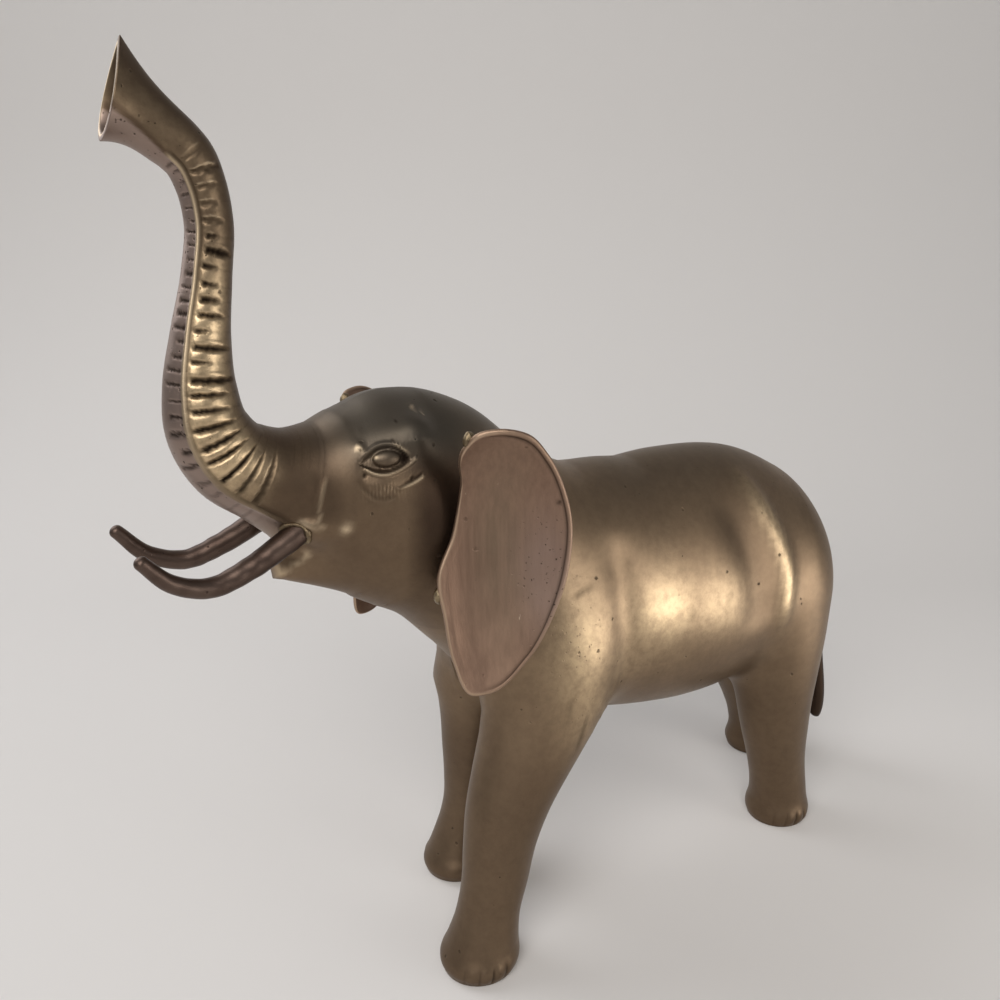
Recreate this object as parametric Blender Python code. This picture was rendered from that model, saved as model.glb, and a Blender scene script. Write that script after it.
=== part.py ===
"""Brass elephant statue with a raised trunk, walking: one hollow casting, two sheet ears, two tusks.

The elephant faces -Y, its left side is +X and it stands on z = 0. Its free form is drawn in
proportions of its own height, and the pieces fitted to the casting have sizes of their own.
"""

import math

import bmesh
import bpy
import numpy as np
from mathutils import Vector

# Driving dimensions in metres
HEIGHT = 0.355
EAR_THICKNESS = 0.0022
TUSK_DIAMETER = 0.0088
TUSK_TIP_DIAMETER = 0.0048
SOCKET_DEPTH = 0.0070
FIT_GAP = 0.0003
GROOVE_DEPTH = 0.0009
GROOVE_WIDTH = 0.0019
GROOVE_COUNT = 25

# The free form is drawn in units of a 355th of the height
UNIT = HEIGHT / 355.0

# Facets round each form
BODY_SEGMENTS = 24
LEG_SEGMENTS = 16
TUSK_SEGMENTS = 12

# Stations of the body, head and trunk from the rump forward:
# y, z, half height, half width, sag (positive where the section is widest below its middle)
SPINE_STATIONS = (
    (70.0, 133.4, 52.9, 41.5, 0.10),
    (40.0, 139.6, 59.6, 44.0, 0.12),
    (10.0, 141.4, 60.6, 44.5, 0.12),
    (-20.0, 144.3, 57.6, 43.0, 0.10),
    (-44.0, 150.6, 55.2, 41.0, 0.06),
    (-64.0, 160.0, 50.0, 38.5, 0.03),
    (-82.0, 173.0, 44.6, 36.0, 0.00),
    (-99.3, 187.0, 41.6, 33.6, 0.00),
    (-115.3, 198.6, 42.4, 31.6, -0.04),
    (-132.7, 205.7, 39.4, 29.4, -0.06),
    (-148.0, 209.4, 31.2, 25.6, -0.08),
    (-161.0, 212.9, 22.9, 21.0, -0.08),
    (-173.0, 217.9, 17.5, 18.2, -0.04),
    (-184.0, 225.2, 15.6, 16.4, 0.00),
    (-190.4, 236.4, 14.0, 14.8, 0.00),
    (-191.6, 250.0, 12.1, 12.6, 0.00),
    (-189.6, 266.5, 9.9, 10.3, 0.00),
    (-185.6, 286.0, 8.2, 8.5, 0.00),
    (-183.2, 303.0, 7.9, 8.0, 0.00),
    (-184.6, 314.0, 8.1, 8.3, 0.00),
    (-187.2, 321.0, 8.5, 8.6, 0.00),
    (-191.9, 326.4, 8.9, 9.0, 0.00),
)
# The rump closes over this length, already sloping where it starts
RUMP_LENGTH = 38.6
RUMP_LEAD = 16.0

# Legs, from the sole up: z, lean, half width, half length
FRONT_LEG = (
    (0.0, 0.0, 15.6, 15.9),
    (5.0, 0.4, 16.8, 16.9),
    (12.0, 2.0, 15.0, 15.4),
    (22.0, 4.7, 13.4, 13.8),
    (36.0, 9.2, 13.2, 14.4),
    (52.0, 12.8, 14.2, 16.0),
    (68.0, 18.2, 16.4, 18.8),
    (84.0, 26.6, 18.6, 22.8),
    (100.0, 35.4, 21.0, 26.6),
    (125.0, 43.6, 23.5, 29.2),
)
HIND_LEG = (
    (0.0, 0.0, 15.0, 15.2),
    (5.0, 0.2, 16.0, 16.0),
    (12.0, 0.2, 14.6, 14.8),
    (22.0, -0.8, 13.8, 14.6),
    (36.0, -2.8, 14.2, 15.4),
    (52.0, -4.6, 16.0, 17.6),
    (68.0, -5.6, 18.0, 19.6),
    (84.0, -5.2, 20.0, 21.4),
    (100.0, -4.0, 21.5, 22.6),
    (125.0, -2.5, 22.0, 23.0),
)
LEG_TOP = 165.0
HIP_SPREAD = 22.0
# Each leg: side (left is 1), foot x, foot y, hip y less that of the profile, how late up the leg it
# shifts there, profile, first ring of its patch
LEGS = (
    (1, 28.2, -108.0, 0.0, 1.4, FRONT_LEG, "chest"),
    (-1, 31.6, -84.0, -22.0, 2.4, FRONT_LEG, "chest"),
    (1, 26.4, 77.0, 0.0, 1.4, HIND_LEG, "haunch"),
    (-1, 28.2, 118.2, -34.0, 1.4, HIND_LEG, "haunch"),
)
# Heights between which a leg leans from its foot to its hip, across and along
SPREAD_HEIGHTS = (20.0, 120.0)
SHIFT_HEIGHTS = (15.0, 105.0)

# The tail, from its root down: y, z, radius
TAIL_STATIONS = (
    (103.0, 160.0, 7.0),
    (111.6, 157.5, 5.2),
    (119.6, 148.0, 4.2),
    (125.6, 126.0, 3.4),
    (131.0, 95.0, 2.7),
    (135.0, 64.0, 2.6),
    (136.8, 46.0, 4.4),
    (137.5, 31.0, 4.4),
    (137.5, 25.0, 2.6),
)
TAIL_END = (137.5, 23.5)

# Forms added to the long form: start, end, radius at each, fillet
JAW = ((0.0, -130.0, 184.0), (0.0, -170.0, 184.8), 21.5, 6.2, 9.0)
TUSK_SLEEVE = ((10.0, -140.0, 206.0), (13.6, -159.5, 202.0), 12.0, 7.4, 7.0)
BROW = ((17.0, -150.0, 228.0), (21.5, -124.0, 229.0), 5.0, 5.5, 9.0)
LEG_FILLET = 20.0

# The mouth of the trunk: a teardrop from the lower lip to the pointed finger
LIP = (-212.2, 325.2)
FINGER = (-203.0, 355.0)
MOUTH_HALF_WIDTH = 9.4
MOUTH_WALL = 1.8
MOUTH_WAIST = 0.13
MOUTH_DEPTH = 13.0
# How far the teardrop swells past its half width, and how sharply it narrows to the finger
MOUTH_SWELL = 1.27
MOUTH_TAPER = 0.45
# Rings between the trunk and the mouth's rim, as shares of the way
MOUTH_SHARES = (0.3, 0.6, 0.85)
# Where the hollow's middle lies between lip and finger, and its rings: share of the wall's ring, depth
HOLLOW_MIDDLE = 0.40
HOLLOW_RINGS = ((1.0, 0.4), (0.80, 3.5), (0.55, 8.0), (0.30, 11.5))

# The grooves cut across the trunk, from the last at the face to the last at the tip
GROOVE_START = (-168.0, 218.0)
GROOVE_END = (-188.0, 322.0)
# How far round from the top a groove reaches: it fades in, runs, and stops at the front band
GROOVE_FADE = (30.0, 80.0)
GROOVE_STOP = (112.0, 128.0)
BAND_EDGE = 132.0
BAND_RIDGE = 0.55
BAND_RIDGE_WIDTH = 8.0
# How deep the band's flat lies, and how far past its edge it starts and is full
BAND_FLAT = 0.6
BAND_FLAT_FADE = (3.0, 14.0)

# Rings of the mesh, as rows along the spine, with one row a unit
HAUNCH_RINGS = (0, 13, 26)
BELLY_RINGS = (39, 51, 63, 75, 87, 98)
CHEST_RINGS = (108, 118, 130, 142, 154)
HEAD_RINGS = (164, 174, 184, 194, 203, 212, 221, 228, 234, 239, 244, 248, 252)
FREE_HEAD_ROW = 190
# From this row on, the underside of a ring starts on the jaw and not on the long form
JAW_ROW = 205
JAW_REACH = 48.0
JAW_STEP = 0.25
# How far below the ring's middle its underside starts, as a cosine
JAW_RISE = -0.1
RUMP_RING_COUNT = 6
# Longer than any ray from the body's middle to its skin
RAY_REACH = 90.0
# A leg grows from four by four facets of the body: the first of them, counted from the top
PATCH = 4
PATCH_FIRST_FACET = 7
LEG_RINGS = (84.0, 74.0, 62.0, 50.0, 38.0, 28.0, 19.0, 12.0, 7.0, 3.0, 0.0)
# Turns of spreading the points evenly, and the height above which a leg's points take part
SPREAD_TURNS = 24
LOOSE_LEG_HEIGHT = 70.0

# The eye, seen from the left: its middle as y and z, half length, half height, rise to the rear
EYE_MIDDLE = (-136.6, 221.4)
EYE_HALF_LENGTH = 9.4
EYE_HALF_HEIGHT = 4.6
EYE_RISE = 0.10
# Heights of its ball, of the cut round the ball and of the lid round the cut
EYE_BALL = 1.5
EYE_CUT = 1.1
EYE_LID = 0.7
# The rings of points it is carved with, as shares of its half size, and the points in each
EYE_RINGS = (0.3, 0.55, 0.75, 0.9, 1.05, 1.22, 1.42, 1.75)
# How wide the cut is, where the lid's crest lies and how wide it is, as shares too
EYE_CUT_WIDTH = 0.16
EYE_LID_CREST = 1.3
EYE_LID_WIDTH = 0.18
# Where the rings lie before they settle on the face
EYE_START_X = 26.0
EYE_SEGMENTS = 20
# How much of the coarse mesh gives way to them
EYE_REACH = 2.0
# The eye's corners are pointed: how much its height shrinks towards them
EYE_POINT = 0.35

# The ear's outline on its own plate, seen from the side: y, z
EAR_OUTLINE = (
    (-110.5, 235.4),
    (-117.0, 233.8),
    (-119.6, 229.0),
    (-116.6, 214.0),
    (-118.0, 196.0),
    (-124.6, 179.0),
    (-123.6, 165.0),
    (-122.6, 148.0),
    (-118.6, 136.4),
    (-112.0, 136.0),
    (-98.4, 146.8),
    (-88.0, 164.0),
    (-82.4, 182.0),
    (-81.8, 200.0),
    (-85.4, 212.0),
    (-93.0, 225.0),
    (-102.0, 233.6),
)
EAR_CENTRE = (-103.0, 186.0)
# How the plate is dished: x at the head, and how far its top, foot and rear stand out from there
EAR_ROOT = (34.0, -113.0, 192.0)
EAR_TOP_FLARE = 19.0
EAR_FOOT_FLARE = 12.0
EAR_REAR_FLARE = 0.75
EAR_TOP_REACH = 44.0
EAR_FOOT_REACH = 56.0
EAR_CLEARANCE = 0.0002
# How gently the plate bends away where the head would touch it, and how far forward the right ear sits
EAR_EASE = 3.0
RIGHT_EAR_LEAD = -3.0
EAR_SPOKES = 24
EAR_CIRCLES = 4

# The tusk's curve, from its root to its tip: x, y, z
TUSK_CURVE = (
    (12.6, -148.0, 208.4),
    (13.8, -160.0, 203.2),
    (15.0, -172.0, 197.2),
    (16.0, -186.0, 190.6),
    (16.6, -199.0, 187.2),
    (17.6, -211.0, 191.4),
    (19.3, -220.0, 201.0),
)
TUSK_RINGS = 14
# How far the cutter of a socket stands out of the face
SOCKET_LEAD = 0.006


def smooth_rows(stations, step):
    """Rows on a smooth curve through the stations, about one step apart along the first columns."""
    rows = np.asarray(stations, float)
    chord = np.linalg.norm(np.diff(rows[:, :2], axis=0), axis=1)
    at = np.concatenate(([0.0], np.cumsum(chord)))
    slope = np.diff(rows, axis=0) / chord[:, None]
    tangent = np.empty_like(rows)
    tangent[0] = slope[0]
    tangent[-1] = slope[-1]
    weight = (chord[1:] / (chord[1:] + chord[:-1]))[:, None]
    tangent[1:-1] = weight * slope[:-1] + (1.0 - weight) * slope[1:]
    where = np.linspace(0.0, at[-1], int(round(at[-1] / step)) + 1)
    span = np.clip(np.searchsorted(at, where, side="right") - 1, 0, len(chord) - 1)
    width = chord[span][:, None]
    t = ((where - at[span]) / chord[span])[:, None]
    start = (1 + 2 * t) * (1 - t) ** 2 * rows[span] + t * (1 - t) ** 2 * width * tangent[span]
    end = t ** 2 * (3 - 2 * t) * rows[span + 1] - t ** 2 * (1 - t) * width * tangent[span + 1]
    return start + end


def smooth_min(a, b, reach):
    """The smaller of two distances, with a fillet of about the reach where they meet."""
    h = np.maximum(reach - np.abs(a - b), 0.0) / reach
    return np.minimum(a, b) - h ** 3 * reach / 6.0


SPINE = smooth_rows(SPINE_STATIONS, 1.0)
SPINE_TANGENT = np.gradient(SPINE[:, :2], axis=0)
SPINE_TANGENT /= np.linalg.norm(SPINE_TANGENT, axis=1)[:, None]
# Up from the spine: the back, the crown and the rear of the trunk are on top
SPINE_UP = np.stack((SPINE_TANGENT[:, 1], -SPINE_TANGENT[:, 0]), axis=1)


def spine_place(points):
    """Where points are along the spine, how far up from it, and how far past its start."""
    flat = points[:, 1:3]
    row = np.empty(len(points), int)
    batch = 20000
    for first in range(0, len(points), batch):
        part = flat[first:first + batch, None, :] - SPINE[None, :, :2]
        row[first:first + batch] = np.argmin((part ** 2).sum(axis=2), axis=1)
    offset = flat - SPINE[row, :2]
    along = (offset * SPINE_TANGENT[row]).sum(axis=1)
    spacing = np.linalg.norm(SPINE[1, :2] - SPINE[0, :2])
    exact = np.clip(row + along / spacing, 0.0, len(SPINE) - 1.0)
    low = np.minimum(exact.astype(int), len(SPINE) - 2)
    t = (exact - low)[:, None]
    centre = SPINE[low, :2] * (1 - t) + SPINE[low + 1, :2] * t
    up = SPINE_UP[low] * (1 - t) + SPINE_UP[low + 1] * t
    height = ((flat - centre) * up).sum(axis=1)
    past = np.maximum(-(flat - SPINE[0, :2]) @ SPINE_TANGENT[0], 0.0)
    return exact, height, past


def long_form_distance(points):
    """Signed distance, near enough, to the long form from rump to trunk."""
    exact, height, past = spine_place(points)
    numbers = np.arange(len(SPINE))
    tall, wide, sag = [np.interp(exact, numbers, SPINE[:, column]) for column in (2, 3, 4)]
    rise = height / tall
    across = wide * (1.0 - sag * np.clip(rise, -1.0, 1.0))
    ring = np.hypot(points[:, 0] / across, rise)
    close = ((past + RUMP_LEAD) ** 2 - RUMP_LEAD ** 2) / ((RUMP_LENGTH + RUMP_LEAD) ** 2 - RUMP_LEAD ** 2)
    return (np.sqrt(ring ** 2 + close) - 1.0) * np.sqrt(tall * wide)


def leg_rows(leg):
    """Smooth rows of a leg: z, x, y, half width, half length."""
    side, foot_x, foot_y, hip_shift, late, profile, patch = leg
    rows = smooth_rows(profile, 1.0)
    z = rows[:, 0]
    spread = np.interp(z, SPREAD_HEIGHTS, (foot_x, HIP_SPREAD))
    shift = hip_shift * np.interp(z, SHIFT_HEIGHTS, (0.0, 1.0)) ** late
    return np.stack((z, side * spread, foot_y + rows[:, 1] + shift, rows[:, 2], rows[:, 3]), axis=1)


LEG_ROWS = [leg_rows(leg) for leg in LEGS]


def leg_distance(points, rows):
    """Signed distance, near enough, to one leg."""
    z = np.clip(points[:, 2], 0.0, rows[-1, 0])
    x, y, wide, long = [np.interp(z, rows[:, 0], rows[:, column]) for column in (1, 2, 3, 4)]
    above = np.maximum(points[:, 2] - rows[-1, 0], 0.0) / (LEG_TOP - rows[-1, 0])
    across = (points[:, 0] - x) / wide
    along = (points[:, 1] - y) / long
    return (np.sqrt(across ** 2 + along ** 2 + above ** 2) - 1.0) * np.sqrt(wide * long)


def bar_distance(points, start, end, first, last):
    """Signed distance to a round bar that tapers from its first radius to its last."""
    start = np.asarray(start, float)
    axis = np.asarray(end, float) - start
    t = np.clip((points - start) @ axis / (axis @ axis), 0.0, 1.0)
    nearest = start + t[:, None] * axis
    return np.linalg.norm(points - nearest, axis=1) - (first + t * (last - first))


def mirrored(place, side):
    return (side * place[0], place[1], place[2])


def body_distance(points):
    """Signed distance, near enough, to the whole casting without its tail."""
    value = long_form_distance(points)
    for rows in LEG_ROWS:
        value = smooth_min(value, leg_distance(points, rows), LEG_FILLET)
    start, end, first, last, fillet = JAW
    value = smooth_min(value, bar_distance(points, start, end, first, last), fillet)
    for start, end, first, last, fillet in (TUSK_SLEEVE, BROW):
        for side in (1, -1):
            form = bar_distance(points, mirrored(start, side), mirrored(end, side), first, last)
            value = smooth_min(value, form, fillet)
    return value


def settle(points, target=0.0, turns=3, limit=6.0):
    """Points moved along the slope of the distance until they lie at the target distance."""
    step = 0.05
    for _ in range(turns):
        here = body_distance(points)
        slope = np.stack([body_distance(points + step * axis) - here for axis in np.eye(3)], axis=1) / step
        size = np.maximum((slope ** 2).sum(axis=1), 1e-3)
        move = -((here - target) / size)[:, None] * slope
        length = np.maximum(np.linalg.norm(move, axis=1), 1e-9)
        points = points + move * np.minimum(1.0, limit / length)[:, None]
    return points


def ring_angles(count=BODY_SEGMENTS):
    return 2.0 * math.pi * np.arange(count) / count


def spine_at(row):
    """Values of the long form at a whole or broken row: y, z, half height, half width, sag, up."""
    numbers = np.arange(len(SPINE))
    values = [np.interp(row, numbers, SPINE[:, column]) for column in range(5)]
    up = np.array([np.interp(row, numbers, SPINE_UP[:, column]) for column in range(2)])
    return values + [up]


def spine_ring(row, swell=0.0):
    """One ring of the long form, from its top round by the left side, swollen by some units."""
    y, z, tall, wide, sag, up = spine_at(row)
    angle = ring_angles()
    rise = (tall + swell) * np.cos(angle)
    across = (wide + swell) * (1.0 - sag * np.cos(angle)) * np.sin(angle)
    return np.stack((across, y + rise * up[0], z + rise * up[1]), axis=1)


def head_ring(row):
    """A ring of the head. Its underside is where rays from the spine last leave the body."""
    ring = spine_ring(row)
    if row < JAW_ROW:
        return ring
    y, z = spine_at(row)[:2]
    centre = np.array((0.0, y, z))
    under = np.cos(ring_angles()) < JAW_RISE
    ray = ring[under] - centre
    ray /= np.linalg.norm(ray, axis=1)[:, None]
    reach = np.arange(JAW_REACH, 0.0, -JAW_STEP)
    places = centre + ray[:, None, :] * reach[None, :, None]
    inside = body_distance(places.reshape(-1, 3)).reshape(len(ray), -1) < 0.0
    ring[under] = centre + ray * reach[np.argmax(inside, axis=1)][:, None]
    return ring


def fade(value, start, end):
    """A smooth rise from 0 at start to 1 at end."""
    t = np.clip((value - start) / (end - start), 0.0, 1.0)
    return t * t * (3.0 - 2.0 * t)


def angle_from_top():
    """How far each facet's edge lies from the top of its ring, in degrees, either way round."""
    turn = np.degrees(ring_angles())
    return np.minimum(turn, 360.0 - turn)


def groove_cut():
    """Depth of a groove round the trunk's ring, in units, none on the front band."""
    turn = angle_from_top()
    return GROOVE_DEPTH / UNIT * fade(turn, *GROOVE_FADE) * (1.0 - fade(turn, *GROOVE_STOP))


def band_swell():
    """The front band of the trunk: a low ridge along each edge and a flat between them."""
    turn = angle_from_top()
    past = turn - BAND_EDGE
    ridge = BAND_RIDGE * np.exp(-(past / BAND_RIDGE_WIDTH) ** 2)
    return ridge - BAND_FLAT * fade(past, *BAND_FLAT_FADE)


def trunk_rings():
    """Rings of the trunk: three for each groove, its two edges and its floor."""
    half = 0.5 * GROOVE_WIDTH / UNIT
    grooves = groove_rows()
    rings = []
    for number, row in enumerate(grooves):
        band = band_swell() * fade(number, 0.0, 4.0)
        for shift, cut in ((-half, 0.0), (0.0, 1.0), (half, 0.0)):
            rings.append(spine_ring(row + shift, band - cut * groove_cut()))
    return rings


def mouth_rings():
    """From the last groove out to the rim of the trunk's mouth, then back down inside it."""
    angle = ring_angles()
    lip = np.array((0.0,) + LIP)
    finger = np.array((0.0,) + FINGER)
    length = np.linalg.norm(finger - lip)
    along = (finger - lip) / length
    rise = 0.5 * length * (1.0 + np.cos(angle))
    narrow = (0.5 - 0.5 * np.cos(angle)) ** MOUTH_TAPER
    across = MOUTH_HALF_WIDTH * MOUTH_SWELL * np.sin(angle) * narrow
    rim = lip + rise[:, None] * along
    rim[:, 0] = across
    last = spine_ring(len(SPINE) - 1)
    rings = [last]
    for share in MOUTH_SHARES:
        ring = last + (rim - last) * share
        waist = 1.0 - MOUTH_WAIST * math.sin(math.pi * share)
        rings.append(ring.mean(axis=0) + (ring - ring.mean(axis=0)) * waist)
    rings.append(rim)
    middle = lip + HOLLOW_MIDDLE * length * along
    inward = last.mean(axis=0) - middle
    inward /= np.linalg.norm(inward)
    wall = 1.0 - MOUTH_WALL / MOUTH_HALF_WIDTH
    for scale, depth in HOLLOW_RINGS:
        rings.append(middle + (rim - middle) * wall * scale + inward * depth)
    return rings, middle + inward * MOUTH_DEPTH


def tail_rings():
    """The tail from its tip to its root, as rings that face along it."""
    rows = np.array(TAIL_STATIONS)[::-1]
    run = np.gradient(rows[:, :2], axis=0)
    run /= np.linalg.norm(run, axis=1)[:, None]
    angle = ring_angles()
    rings = []
    for (y, z, radius), (run_y, run_z) in zip(rows, run):
        rise = radius * np.cos(angle)
        rings.append(np.stack((radius * np.sin(angle), y + rise * run_z, z - rise * run_y), axis=1))
    return rings


def rump_rings(count):
    """Rings over the rump, from round the tail's root to the first ring of the body."""
    centre = np.array((0.0, SPINE[0, 0], SPINE[0, 1]))
    root_y, root_z, root_radius = TAIL_STATIONS[0]
    offset = (root_y - centre[1], root_z - centre[2])
    root_rise = math.atan2(offset[1], offset[0])
    narrow = root_radius / math.hypot(*offset)
    angle = ring_angles()
    rings = []
    for number in range(1, count + 1):
        share = number / (count + 1.0)
        rise = root_rise * (1.0 - share)
        cone = narrow + (0.5 * math.pi - narrow) * share
        axis = np.array((0.0, math.cos(rise), math.sin(rise)))
        up = np.array((0.0, -math.sin(rise), math.cos(rise)))
        side = np.sin(angle)[:, None] * np.array((1.0, 0.0, 0.0)) + np.cos(angle)[:, None] * up
        ray = axis * math.cos(cone) + side * math.sin(cone)
        rings.append(reach_surface(centre, ray))
    return rings


def reach_surface(centre, ray):
    """The points where rays from a centre inside the body leave the long form."""
    near = np.zeros(len(ray))
    far = np.full(len(ray), RAY_REACH)
    for _ in range(20):
        middle = 0.5 * (near + far)
        inside = long_form_distance(centre + ray * middle[:, None]) < 0.0
        near = np.where(inside, middle, near)
        far = np.where(inside, far, middle)
    return centre + ray * near[:, None]


def groove_rows():
    """Spine rows of the trunk's grooves, from the last one at the face to the first at the tip."""
    first = spine_row(GROOVE_START)
    last = spine_row(GROOVE_END)
    share = np.arange(GROOVE_COUNT) / (GROOVE_COUNT - 1.0)
    return first + (last - first) * share


def spine_row(place):
    """The spine row nearest to a y, z place."""
    return int(np.argmin(((SPINE[:, :2] - np.asarray(place)) ** 2).sum(axis=1)))


def leg_ring(rows, z):
    """One level ring of a leg."""
    x, y, wide, long = [float(np.interp(z, rows[:, 0], rows[:, column])) for column in (1, 2, 3, 4)]
    angle = ring_angles(LEG_SEGMENTS)
    return np.stack((x + wide * np.cos(angle), y + long * np.sin(angle), np.full(LEG_SEGMENTS, z)), axis=1)


class Skin:
    """Points and faces of the casting while it is put together."""

    def __init__(self):
        self.points = []
        self.faces = []
        self.loose = set()

    def add_ring(self, ring, loose=False):
        first = len(self.points)
        self.points.extend(ring)
        numbers = list(range(first, first + len(ring)))
        if loose:
            self.loose.update(numbers)
        return numbers

    def join(self, upper, lower, skip=()):
        """Four-sided faces between two rings, but for those that are left open."""
        count = len(upper)
        for facet in range(count):
            if facet in skip:
                continue
            following = (facet + 1) % count
            self.faces.append((upper[facet], upper[following], lower[following], lower[facet]))

    def close(self, ring, place):
        """A fan of three-sided faces from a ring to one point."""
        pole = self.add_ring([place])[0]
        for facet in range(len(ring)):
            self.faces.append((ring[facet], ring[(facet + 1) % len(ring)], pole))


def patch_facets(side):
    """The facets of a ring that a leg on this side grows from."""
    left = list(range(PATCH_FIRST_FACET, PATCH_FIRST_FACET + PATCH))
    if side > 0:
        return left
    return [BODY_SEGMENTS - 1 - facet for facet in left]


def patch_edge(rings, first, side):
    """The point numbers round a patch, in order."""
    facets = sorted(patch_facets(side))
    columns = facets + [facets[-1] + 1]
    rows = rings[first:first + PATCH + 1]
    edge = [rows[0][column] for column in columns]
    edge += [row[columns[-1]] for row in rows[1:]]
    edge += [rows[-1][column] for column in columns[-2::-1]]
    edge += [row[columns[0]] for row in rows[-2:0:-1]]
    return edge


def grow_leg(skin, edge, rows):
    """A leg from the edge of its patch down to a flat sole."""
    loop = np.array([skin.points[number] for number in edge])
    turn = np.unwrap(np.arctan2(loop[:, 1] - loop[:, 1].mean(), loop[:, 0] - loop[:, 0].mean()))
    way = 1 if turn[-1] > turn[0] else -1
    steps = ring_angles(LEG_SEGMENTS) * way
    start = (turn - steps).mean()
    offset = int(round(start * way / (2.0 * math.pi) * LEG_SEGMENTS))
    order = [(offset + number) * way % LEG_SEGMENTS if way > 0 else
             (-offset - number) % LEG_SEGMENTS for number in range(LEG_SEGMENTS)]
    upper = edge
    for z in LEG_RINGS:
        ring = leg_ring(rows, z)[order]
        lower = skin.add_ring(ring, loose=z >= LOOSE_LEG_HEIGHT)
        skin.join(upper, lower)
        upper = lower
    skin.faces.append(tuple(upper))


def casting_skin():
    """All points and faces of the casting, in units, before they are settled on its form."""
    skin = Skin()
    rings = [skin.add_ring(ring) for ring in tail_rings()]
    skin.close(rings[0], (0.0,) + TAIL_END)
    rings += [skin.add_ring(ring, loose=True) for ring in rump_rings(RUMP_RING_COUNT)]
    haunch = len(rings) - 2
    rings += [skin.add_ring(spine_ring(row), loose=True) for row in HAUNCH_RINGS + BELLY_RINGS]
    chest = len(rings)
    rings += [skin.add_ring(spine_ring(row), loose=True) for row in CHEST_RINGS]
    head = len(rings)
    rings += [skin.add_ring(head_ring(row), loose=row < FREE_HEAD_ROW) for row in HEAD_RINGS]
    rings += [skin.add_ring(ring) for ring in trunk_rings()]
    mouth, pole = mouth_rings()
    rings += [skin.add_ring(ring) for ring in mouth]
    skin.close(rings[-1], pole)
    starts = {"chest": (chest, chest), "haunch": (haunch, haunch - 1)}
    open_facets = {}
    for leg, rows in zip(LEGS, LEG_ROWS):
        side, patch = leg[0], leg[-1]
        first = starts[patch][0 if side > 0 else 1]
        for number in range(first, first + PATCH):
            open_facets.setdefault(number, []).extend(patch_facets(side))
        grow_leg(skin, patch_edge(rings, first, side), rows)
    for number in range(len(rings) - 1):
        skin.join(rings[number], rings[number + 1], open_facets.get(number, ()))
    settled = [number for ring in rings[len(TAIL_STATIONS):head + len(HEAD_RINGS)] for number in ring]
    return skin, settled


def settled_casting():
    """The casting's points and faces with the free form settled, spread evenly where legs grow."""
    skin, settled = casting_skin()
    points = np.array(skin.points)
    near = {}
    for face in skin.faces:
        for first, second in zip(face, face[1:] + face[:1]):
            near.setdefault(first, set()).add(second)
            near.setdefault(second, set()).add(first)
    loose = np.array(sorted(number for number in skin.loose if number in near))
    width = max(len(near[number]) for number in loose)
    around = np.array([(sorted(near[number]) * width)[:width] for number in loose])
    count = np.array([len(near[number]) for number in loose])
    weight = (np.arange(width)[None, :] < count[:, None]) / count[:, None]
    for turn in range(SPREAD_TURNS):
        mean = (points[around] * weight[:, :, None]).sum(axis=1)
        points[loose] = 0.5 * (points[loose] + mean)
        if turn % 3 == 2:
            points[loose] = settle(points[loose], turns=1)
    free = np.array(sorted(number for number in set(settled) | set(loose.tolist()) if number in near))
    points[free] = settle(points[free], turns=4)
    return points, skin.faces


def eye_lap(places):
    """How far places lie from the middle of the eye, as a share of its half size."""
    along = places[:, 1] - EYE_MIDDLE[0]
    rise = places[:, 2] - EYE_MIDDLE[1] - EYE_RISE * along
    return np.hypot(along / EYE_HALF_LENGTH, rise / EYE_HALF_HEIGHT)


def eye_ring(share, side):
    """One almond ring of the eye, flat, with the height that its share of the eye is carved to."""
    angle = ring_angles(EYE_SEGMENTS)
    along = np.cos(angle) * EYE_HALF_LENGTH * share
    height = EYE_HALF_HEIGHT * (1.0 - EYE_POINT * np.cos(angle) ** 4)
    rise = np.sin(angle) * height * share + EYE_RISE * along
    across = np.full(EYE_SEGMENTS, side * EYE_START_X)
    ring = np.stack((across, EYE_MIDDLE[0] + along, EYE_MIDDLE[1] + rise), axis=1)
    return settle(ring, target=eye_height(share), turns=5)


def eye_height(share):
    """Height of the carved eye: a ball, a cut round it, and a lid round the cut."""
    ball = EYE_BALL * math.sqrt(max(1.0 - share ** 2, 0.0))
    cut = EYE_CUT * math.exp(-((share - 1.0) / EYE_CUT_WIDTH) ** 2)
    lid = EYE_LID * math.exp(-((share - EYE_LID_CREST) / EYE_LID_WIDTH) ** 2)
    return ball - cut + lid


def carve_eyes(casting):
    """Part of the coarse mesh on either side of the head gives way to the rings of an eye."""
    form = bmesh.new()
    form.from_mesh(casting.data)
    for side in (1, -1):
        near = []
        for face in form.faces:
            corners = np.array([vertex.co for vertex in face.verts]) / UNIT
            if (corners[:, 0] * side).min() > 0.0 and eye_lap(corners).min() < EYE_REACH:
                near.append(face)
        edges = [edge for face in near for edge in face.edges]
        hole = [edge for edge in edges if any(face not in near for face in edge.link_faces)]
        bmesh.ops.delete(form, geom=near, context="FACES")
        peak = settle(np.array([[side * EYE_START_X, *EYE_MIDDLE]]), EYE_BALL, 5)[0]
        pole = form.verts.new(Vector(peak * UNIT))
        rings = []
        for share in EYE_RINGS:
            rings.append([form.verts.new(Vector(place * UNIT)) for place in eye_ring(share, side)])
        for number in range(EYE_SEGMENTS):
            following = (number + 1) % EYE_SEGMENTS
            form.faces.new((pole, rings[0][number], rings[0][following]))
            for inner, outer in zip(rings, rings[1:]):
                form.faces.new((inner[number], outer[number], outer[following], inner[following]))
        last = rings[-1]
        rim = [form.edges.get((last[number], last[number - 1])) for number in range(EYE_SEGMENTS)]
        bmesh.ops.bridge_loops(form, edges=hole + rim)
    bmesh.ops.recalc_face_normals(form, faces=form.faces)
    form.to_mesh(casting.data)
    form.free()


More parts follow.
